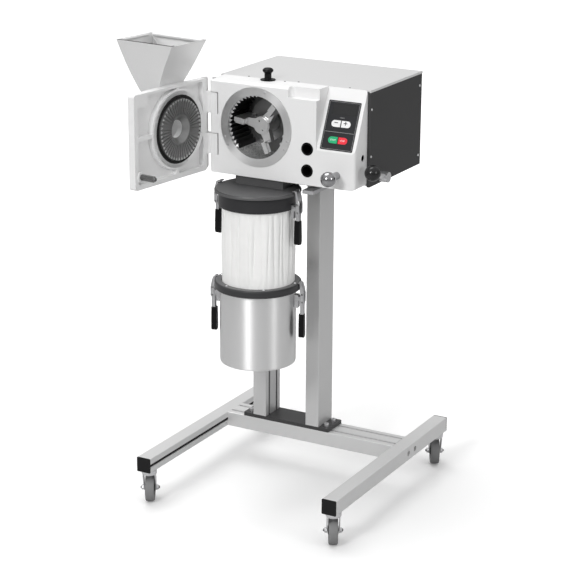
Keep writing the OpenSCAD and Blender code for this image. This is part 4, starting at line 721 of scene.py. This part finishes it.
def castor_wheel(corner):
    roll = Matrix.Translation(joint_place("roll_" + corner)) @ Matrix.Rotation(CASTOR_HEADING, 4, "Z") \
        @ FACING_FRONT
    tread = turned("tyre_" + corner, TYRE_RINGS, sides=72, wall=True)
    tread.data.transform(roll)
    hub = turned("wheel_hub_" + corner, HUB_RINGS, sides=48, wall=True)
    hub.data.transform(roll)
    fitted(tread, "wheel_" + corner, TYRE_GREY)
    fitted(hub, "wheel_" + corner, HUB_BLACK)
    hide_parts("castor_wheel_" + corner)
    swivel = joint_place("swivel_" + corner)
    crown = turned("castor_crown_" + corner, CROWN_RINGS, sides=56, wall=True)
    crown.data.transform(Matrix.Translation(Vector((swivel.x, swivel.y, CROWN_TOP))))
    fitted(crown, "castor_" + corner, ZINC)
    ends = []
    for side in (-1, 1):
        nut = turned("axle_nut", NUT_RINGS, sides=24)
        nut.data.transform(roll @ at_side(side, AXLE_END))
        ends.append(nut)
    fitted(joined("axle_nuts_" + corner, ends), "castor_" + corner, NUT_STEEL)


for corner in CORNERS:
    castor_wheel(corner)


# Latches: stamped strap and lever with a moulded grip in place of the plain ones

def pressed_sheet(name, sides, flange, y, web, width, thick):
    """A sheet folded to a channel: one flange at each side of a web."""
    pieces = []
    for start in (-y, y - thick):
        cheek = plate(name + "_cheek", flange, thick)
        cheek.data.transform(sides @ Matrix.Translation(Vector((0, 0, start * MM))))
        pieces.append(cheek)
    cross = plate(name + "_web", web, width)
    cross.data.transform(sides @ Matrix.Translation(Vector((0, 0, -width / 2 * MM))))
    return bevelled(joined(name, pieces + [cross]), 0.35, 2)


# Outlines as seen from the side, x away from the collector and z up from the lever's pin
LEVER_SHEET, STRAP_SHEET = 1.5, 1.6
LEVER_HALF, STRAP_HALF = 6.2, 10.6
STRAP_PINS = ((3.2, 11, 3.1), (4, -10, 2.6))
LEVER_HEAD = [(-2, 4), (2, 5), (6.2, 2.6), (8.2, -3), (8.2, -12), (7, -18)]
LEVER_INSIDE = [(-2.6, -17), (-4.6, -8), (-4.6, -2)]
STRAP_FLANK = [(-3, 46.6), (1.8, 43.8), (5.6, 31), (8.6, 12), (8.6, -11), (6.4, -14), (1.4, -14), (-0.8, -8),
               (-1.2, 12), (-3.4, 30), (-3.4, 42.4)]
STRAP_BACK = [(-3, 46.4), (1.6, 43.6), (5.4, 31), (6.9, 21), (5.2, 21), (3.8, 30.4), (0.2, 42.4),
              (-3.2, 43.6)]
GRIP_SIDE = [(4.4, 0), (7.8, 2.4), (9.3, 7), (9.5, 12), (8.9, 30), (7.6, 58), (7.1, 63), (6, 64)]
GRIP_OUTLINE = [(-4.4, 0)] + GRIP_SIDE + [(-x, y) for x, y in GRIP_SIDE[:0:-1]]
GRIP_DEPTH = 14


def latch(place, turn, low):
    """One latch on its pin: a low one hangs on the lower ring, with its hook and its grip further down."""
    pivot = joint_place("latch_turn_" + place)
    stand = Matrix.Translation(pivot) @ Matrix.Rotation(math.radians(turn), 4, "Z")
    upright = stand @ FACING_FRONT
    fall = -6 if low else 6
    seat = -4 if low else 0
    hook = -7 if low else -10
    foot = -42 + fall
    lever = pressed_sheet("latch_lever_" + place, upright,
                          LEVER_HEAD + [(7, foot), (-2.6, foot)] + LEVER_INSIDE, LEVER_HALF,
                          [(5.5, -12), (7, -12), (7, foot), (5.5, foot)], 2 * LEVER_HALF - 0.2, LEVER_SHEET)
    flank = [(x, z + (seat if z > 20 else 0)) for x, z in [(hook, 43), (hook, 45.6)] + STRAP_FLANK]
    back = [(x, z + seat) for x, z in [(hook, 43.2), (hook, 45.4)] + STRAP_BACK]
    strap = pressed_sheet("latch_strap_" + place, upright, flank, STRAP_HALF + 0.1, back, 2 * STRAP_HALF,
                          STRAP_SHEET)
    pins = []
    for side in (-1, 1):
        for x, z, r in STRAP_PINS:
            rings = [(r, 0), (r, 0.6), (r * 0.7, 1.1), (r * 0.45, 0.7), (CLOSED, 0.7)]
            pin = turned("latch_pin", rings, sides=20)
            pin.data.transform(upright @ at_side(side, STRAP_HALF, x, z))
            pins.append(pin)
    grip = bevelled(plate("latch_grip_" + place, GRIP_OUTLINE, GRIP_DEPTH), 3, 5, 30)
    grip.data.transform(stand @ Matrix.Translation(Vector((-6, 0, foot - 60)) * MM)
                        @ Matrix.Rotation(math.pi / 2, 4, "Z") @ Matrix.Rotation(math.pi / 2, 4, "X"))
    fitted(lever, "latch_" + place, LATCH_ZINC)
    fitted(grip, "latch_" + place, MOULDED_BLACK)
    fitted(strap, "bail_" + place, LATCH_ZINC)
    fitted(joined("latch_pins_" + place, pins), "bail_" + place, NUT_STEEL)
    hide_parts("latch_" + place)
    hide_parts("bail_" + place)


for place, turn, low in (("upper_right", 0, False), ("upper_left", 180, False),
                         ("lower_right", 14, True), ("lower_left", 194, True)):
    latch(place, turn, low)


# Control face: printed film, display window and legends of the keys

def film_height(node):
    """How far a piece of the control face stands out of the slanted plane."""
    outwards = on_control_face(0, 0).to_3x3() @ Vector((0, 0, 1))
    return max((corner.co - CONTROL_FOOT).dot(outwards) for corner in frame["nodes"][node].data.vertices) / MM


# Places on the control face: x across from the stand's middle and height up the slope
FILM_LEFT, FILM_RIGHT = 111.5, 201.5
FILM_FOOT, FILM_HEAD = 5, 131
BORDER_INSET = 3
BORDER_WIDTH = 0.8
BORDER_FLATTENING = 0.3
DIVIDER_FOOT, DIVIDER_HEAD = 51.0, 52.0
WINDOW = (124.8, 95.3, 193.2, 123.7)
PROUD = 0.05
MINUS_X, PLUS_X, SIGNS_UP = 143.2, 169.0, 75.2
BAR_LENGTH, BAR_WIDTH, BAR_THICK = 10, 2.0, 0.12
PRINT_THICK = 0.04 * MM


def on_film(x, up, node, proud):
    """Frame on a piece of the control face, that far out of its own front."""
    return on_control_face(x, up, film_height(node) + proud)


def legend(name, words, size, x, up, node, material, body):
    nothing_selected()
    bpy.ops.object.text_add(location=(0, 0, 0))
    piece = bpy.context.object
    piece.data.body = words
    piece.data.size = size * MM
    piece.data.align_x = "CENTER"
    piece.data.align_y = "CENTER"
    piece.data.extrude = PRINT_THICK
    piece.data.resolution_u = 3
    bpy.ops.object.convert(target="MESH")
    piece = bpy.context.object
    piece.name = name
    piece.data.transform(on_film(x, up, node, PROUD))
    fitted(piece, body, material)


film_outline = rounded_outline(FILM_LEFT + BORDER_INSET, FILM_FOOT + BORDER_INSET, FILM_RIGHT - BORDER_INSET,
                               FILM_HEAD - BORDER_INSET, 2.5)
border = rod("film_border", [Vector((x, y, 0)) * MM for x, y in film_outline], BORDER_WIDTH, sides=6,
             loop=True)
border.data.transform(on_film(0, 0, "control_panel", 0) @ Matrix.Diagonal((1, 1, BORDER_FLATTENING, 1)))
fitted(border, "frame", PRINT_GREY)
divider = plate("film_divider",
                rounded_outline(FILM_LEFT + 5, DIVIDER_FOOT, FILM_RIGHT - 5, DIVIDER_HEAD, 0.4, 2), 0.15)
divider.data.transform(on_film(0, 0, "control_panel", -PROUD))
fitted(divider, "frame", PRINT_GREY)
window = plate("display_window", rounded_outline(*WINDOW, 1.8), 0.3)
window.data.transform(on_film(0, 0, "control_panel", -0.25))
fitted(window, "frame", WINDOW_FILM)
LEVEL_BAR, UPRIGHT_BAR = (BAR_LENGTH, BAR_WIDTH), (BAR_WIDTH, BAR_LENGTH)
for sign, key, x, bars in (("minus_mark", "button_minus", MINUS_X, [LEVEL_BAR]),
                           ("plus_mark", "button_plus", PLUS_X, [LEVEL_BAR, UPRIGHT_BAR])):
    outlines = [rounded_outline(-w / 2, -h / 2, w / 2, h / 2, 0.5, 2) for w, h in bars]
    mark = joined(sign, [plate(sign + "_bar", outline, BAR_THICK) for outline in outlines])
    mark.data.transform(on_film(x, SIGNS_UP, key, PROUD))
    fitted(mark, key, PRINT_BLACK)
legend("start_mark", "START", 5.6, 143.4, 31.0, "button_start", PRINT_WHITE, "button_start")
legend("stop_mark", "STOP", 5.6, 169.6, 31.0, "button_stop", PRINT_WHITE, "button_stop")
legend("speed_mark", "SPEED", 4.6, 156.5, 88.0, "control_panel", PRINT_GREY, "frame")


# Hopper: rolled lip round the rim, rolled edges, dark strip along its front edge, two flat divider sheets
# inside
RIM_Z = 1220.6
RIM_HALF = 68.5
RIM_FRONT, RIM_BACK = 24, -155
LIP_WIDTH = 3.2
EDGE_STRIP_WIDTH = 4.4
# Corners as along the door, out of it and down from the rim
HOPPER_SHEETS = (("hopper_divider_sheet", ((-58, -146, 4), (62, -20, 4), (-36, -112, 60), (44, -30, 60))),
                 ("hopper_slide", ((-60, -138, 12), (-61, 12, 12), (-18, -88, 60), (-18, -18, 60))))
SHEET_THICK = 1.6


def hopper_point(along, out, drop=0.0):
    """A point of the hopper: along the door from its eye, out of the door, and down from the rim."""
    return on_door(DOOR_EYE + along, out, RIM_Z - drop).to_translation()


half, front, back = RIM_HALF - LIP_WIDTH / 2, RIM_FRONT - LIP_WIDTH / 2, RIM_BACK + LIP_WIDTH / 2
rim_corners = ((-half, front), (half, front), (half, back), (-half, back))
rim = [hopper_point(*corner, LIP_WIDTH / 2) for corner in rim_corners]
fitted(rod("hopper_lip", rim, LIP_WIDTH, sides=12, loop=True), "door", HOPPER_STEEL)


def hopper_rod(name, start, end, thick, sides):
    return rod(name, [hopper_point(*start), hopper_point(*end)], thick, sides)


rolls = [hopper_rod("hopper_roll", (-63.5, 14, 4.6), (-63.5, -146, 4.6), 9, 16),
         hopper_rod("hopper_roll", (-50, -150.5, 4.2), (62, -150.5, 4.2), 7, 16)]
fitted(joined("hopper_rolled_edges", rolls), "door", HOPPER_STEEL, 40)
strips = [hopper_rod("hopper_strip", (65.2, -153, 0.9), (65.2, 17, 0.9), EDGE_STRIP_WIDTH, 8),
          hopper_rod("hopper_strip_end", (65.2, 20, 0.9), (56, 21, 0.9), EDGE_STRIP_WIDTH, 8)]
fitted(joined("hopper_edge_strip", strips), "door", SEAL_RUBBER)


def sheet_between(name, corners):
    """A flat sheet through four points of the hopper, two along each edge."""
    nothing_selected()
    bpy.ops.mesh.primitive_plane_add(size=MM, location=(0, 0, 0))
    piece = bpy.context.object
    piece.name = name
    for vertex, corner in zip(piece.data.vertices, corners):
        vertex.co = hopper_point(*corner)
    return thickened(piece, SHEET_THICK * MM, 0)


sheets = [sheet_between(*sheet) for sheet in HOPPER_SHEETS]
fitted(joined("hopper_divider", sheets), "door", HOPPER_DIVIDER_PAINTED_SHADE)


# Filter sleeve: gathered cloth held in the two clamp rings

CLOTH_RADIUS = 94.3 * MM
CLOTH_WALL = 0.8 * MM
CLOTH_AROUND, CLOTH_ROWS = 360, 64
# Share of the height that each clamp ring holds
HELD_SHARE = 0.055


def cloth_fold(a, t):
    """How far the cloth stands out, in millimetres, at an angle in degrees and a share of the height."""
    s = min(1, max(0, (t - HELD_SHARE) / (1 - 2 * HELD_SHARE)))
    if not 0 < s < 1:
        return 0
    swell = math.sin(math.pi * s)
    near_top = s ** 0.5 * (1 - s) ** 0.35
    main = 0.6 * math.cos(math.radians(9 * a + 40 * t)) + 0.4 * math.cos(math.radians(14 * a - 70 * t))
    pleat = abs(math.sin(math.radians(10 * a + 25 * math.sin(math.radians(3 * a)) + 18 * t)))
    crease = abs(math.sin(math.radians(7 * a + 50 * math.sin(math.radians(2 * a + 50)) - 34 * t)))
    gather = math.cos(math.radians(36 * a + 20 * math.sin(math.radians(5 * a))))
    ends = math.exp(-(s / 0.08) ** 2) + math.exp(-((1 - s) / 0.14) ** 2)
    folds = 4.0 * swell * main - 6.5 * near_top * (1 - pleat) ** 3 - 5.0 * swell * (1 - crease) ** 4
    return folds + ends * (0.7 * gather - 0.7) * min(1, s * 30, (1 - s) * 30)


def filter_sleeve():
    low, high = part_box("filter_sleeve")
    height = high.z - low.z
    nothing_selected()
    bpy.ops.mesh.primitive_cylinder_add(vertices=CLOTH_AROUND, radius=CLOTH_RADIUS, depth=height,
                                        end_fill_type="NOTHING", location=(0, 0, 0), calc_uvs=True)
    sleeve = bpy.context.object
    sleeve.name = "filter_cloth_sleeve"
    bpy.ops.object.mode_set(mode="EDIT")
    for k in range(1, CLOTH_ROWS):
        bpy.ops.mesh.select_all(action="SELECT")
        bpy.ops.mesh.bisect(plane_co=(0, 0, -height / 2 + height * k / CLOTH_ROWS), plane_no=(0, 0, 1))
    bpy.ops.object.mode_set(mode="OBJECT")
    for corner in sleeve.data.vertices:
        x, y, z = corner.co
        degrees = math.degrees(math.atan2(y, x))
        r = math.hypot(x, y) / MM + cloth_fold(degrees, z / height + 0.5)
        corner.co.x = r * MM * math.cos(math.radians(degrees))
        corner.co.y = r * MM * math.sin(math.radians(degrees))
    thickened(sleeve, CLOTH_WALL, -1)
    sleeve.data.transform(Matrix.Translation((low + high) / 2))
    fitted(sleeve, "frame", FILTER_CLOTH, 80)
    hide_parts("filter_sleeve")


filter_sleeve()

# Door: small bright teeth round the serrated insert
TOOTH_OUTLINE = [(0, 0), (6.4, -3.6), (6.4, 3.2)]
TOOTH_THICK = 1.8
TOOTH_COUNT = 45
TOOTH_R, TOOTH_FACE = 71.5, -7.4
wedge = plate("insert_tooth_pattern", TOOTH_OUTLINE, TOOTH_THICK)
insert_teeth = copies("insert_teeth", wedge, [
    on_door(DOOR_EYE, TOOTH_FACE, CHAMBER_Z) @ Matrix.Rotation(math.radians(360 / TOOTH_COUNT * k), 4, "Z")
    @ Matrix.Translation(Vector((TOOTH_R * MM, 0, 0))) for k in range(TOOTH_COUNT)])
fitted(insert_teeth, "door", SIEVE_STEEL)
put_away(wedge)

# Housing: black cup inside the side socket, its black standing partly for the shade deep in the socket, and a
# dark plate between the outlet and the stand as painted shade under the casting
CUP_RINGS = [(8.4, -9.5), (8.4, -0.4), (7.2, -0.4), (7.0, -8.5), (CLOSED, -8.6)]
SOCKET_MOUTH = at(209, -156, 943)
SHADE_PLATE_OUTLINE = rounded_outline(0.5, -160, 60, -42, 3)
SHADE_PLATE_Z, SHADE_PLATE_THICK = 854, 12
# Partly painted shade: the cup closes the socket, and its near-black stands in for the shade deep in the
# hole.
cup = turned("side_socket_cup", CUP_RINGS, sides=40)
cup.data.transform(Matrix.Translation(SOCKET_MOUTH) @ FACING_RIGHT)
fitted(cup, "frame", MOULDED_BLACK)
# Painted shade: a dark plate that fills the shade under the casting between the outlet and the stand.
shade_plate = plate("under_casting_shade_plate", SHADE_PLATE_OUTLINE, SHADE_PLATE_THICK)
shade_plate.data.transform(Matrix.Translation(at(0, 0, SHADE_PLATE_Z)))
bevelled(shade_plate, 1, 2)
fitted(shade_plate, "frame", PAN_COAT)

# Lever: bright ferrule at the ball
FERRULE_RINGS = [(7.4, 0), (7.9, 0.6), (7.9, 5.4), (7.2, 6), (6.1, 6), (6.1, 0)]
LEVER_FOOT = at(230.5, -72, 880.5)
LEVER_FALL, LEVER_SPREAD = math.radians(72), math.radians(9)
LEVER_REACH = 79 * MM
ferrule = turned("lever_ferrule", FERRULE_RINGS, sides=32, wall=True)
ferrule.data.transform(Matrix.Translation(LEVER_FOOT) @ Matrix.Rotation(LEVER_FALL, 4, "X")
                       @ Matrix.Rotation(LEVER_SPREAD, 4, "Y")
                       @ Matrix.Translation(Vector((0, 0, LEVER_REACH))))
fitted(ferrule, "closing_lever", POLISHED)


# Studio: pale floor, white surround, plain soft lamps
SURROUND_STRENGTH = 0.75
FLOOR_SIZE = 60
WHITE = (1, 1, 1, 1)


def camera_only_white(tree, output, strength):
    """White to the camera and through glass, and to everything else a light that is weaker from below."""
    path = add_node(tree, "LightPath")
    seen = add_node(tree, "Math", {0: path.outputs["Is Camera Ray"], 1: path.outputs["Is Transmission Ray"]},
                    operation="MAXIMUM")
    white = add_node(tree, "Background", {"Color": WHITE, "Strength": 1})
    heading = add_node(tree, "TexCoord")
    parts = add_node(tree, "SeparateXYZ", {"Vector": heading.outputs["Generated"]})
    ceiling = add_node(tree, "ValToRGB", {"Fac": parts.outputs["Z"]})
    for step, position, level in zip(ceiling.color_ramp.elements, (0.05, 0.75), (0.42, 1)):
        step.position = position
        step.color = (*grey(level), 1)
    plain = add_node(tree, "Background", {"Color": ceiling.outputs["Color"], "Strength": strength})
    pick = add_node(tree, "MixShader", {0: seen.outputs[0], 1: plain.outputs[0], 2: white.outputs[0]})
    tree.links.new(pick.outputs[0], output.inputs["Surface"])


world = bpy.data.worlds.new("Studio")
world.use_nodes = True
bpy.context.scene.world = world
for leftover in list(world.node_tree.nodes):
    world.node_tree.nodes.remove(leftover)
camera_only_white(world.node_tree, add_node(world.node_tree, "OutputWorld"), SURROUND_STRENGTH)

# The floor: paler to the camera than to the mill, and brighter away from it
nothing_selected()
bpy.ops.mesh.primitive_plane_add(size=FLOOR_SIZE, location=(0, 0, 0))
floor = bpy.context.object
floor.name = "studio_floor"
floor_material, floor_tree, floor_shader = bare_material("Studio floor", grey(0.93), 0.35)
floor_shader.inputs["Specular IOR Level"].default_value = 0.25
floor_shader.inputs["Emission Color"].default_value = WHITE
camera_ray = add_node(floor_tree, "LightPath").outputs["Is Camera Ray"]
tinted(floor_tree, floor_shader, camera_ray, grey(0.55), grey(0.93))
spot = add_node(floor_tree, "TexCoord")
distance = add_node(floor_tree, "VectorMath", {0: spot.outputs["Object"]}, operation="LENGTH")
fade = add_node(floor_tree, "MapRange", {"Value": distance.outputs["Value"], "From Min": 0.5, "From Max": 3.0,
                                         "To Min": 0.12, "To Max": 0.75})
lift = add_node(floor_tree, "Math", {0: camera_ray, 1: fade.outputs["Result"]}, operation="MULTIPLY")
floor_tree.links.new(lift.outputs[0], floor_shader.inputs["Emission Strength"])
floor.data.materials.append(floor_material)


def lamp(name, place, aim, size, watts):
    """A round soft lamp, in metres and watts."""
    light = bpy.data.lights.new(name, "AREA")
    light.shape = "DISK"
    light.size = size
    light.energy = watts
    holder = bpy.data.objects.new(name, light)
    bpy.context.scene.collection.objects.link(holder)
    holder.location = place
    holder.rotation_euler = (Vector(aim) - Vector(place)).to_track_quat("-Z", "Y").to_euler()


lamp("overhead_lamp", (-1.0, 0.2, 4.2), (0, 0, 0.5), 2.6, 58)
lamp("front_lamp", (-0.1, -4.6, 3.0), (0, 0, 0.7), 1.3, 94)
lamp("right_lamp", (4.6, -0.9, 2.4), (0, 0, 0.7), 1.0, 26)

# The photographer's place and view, as solved from the square profile of the stand
CAMERA_LENS, CAMERA_SENSOR = 115.49, 36
CAMERA_PLACE = at(2266.91, -4246.48, 2041.93)
CAMERA_RIGHT = Vector((0.8754, 0.48336, 0.00557))
CAMERA_UP = Vector((-0.15103, 0.26255, 0.95303))
CAMERA_BACK = Vector((0.4592, -0.83512, 0.30284))
camera_data = bpy.data.cameras.new("Camera")
camera_data.lens = CAMERA_LENS
camera_data.sensor_width = CAMERA_SENSOR
camera = bpy.data.objects.new("Camera", camera_data)
bpy.context.scene.collection.objects.link(camera)
view_axes = Matrix((CAMERA_RIGHT, CAMERA_UP, CAMERA_BACK)).transposed().to_4x4()
camera.matrix_world = Matrix.Translation(CAMERA_PLACE) @ view_axes
bpy.context.scene.camera = camera
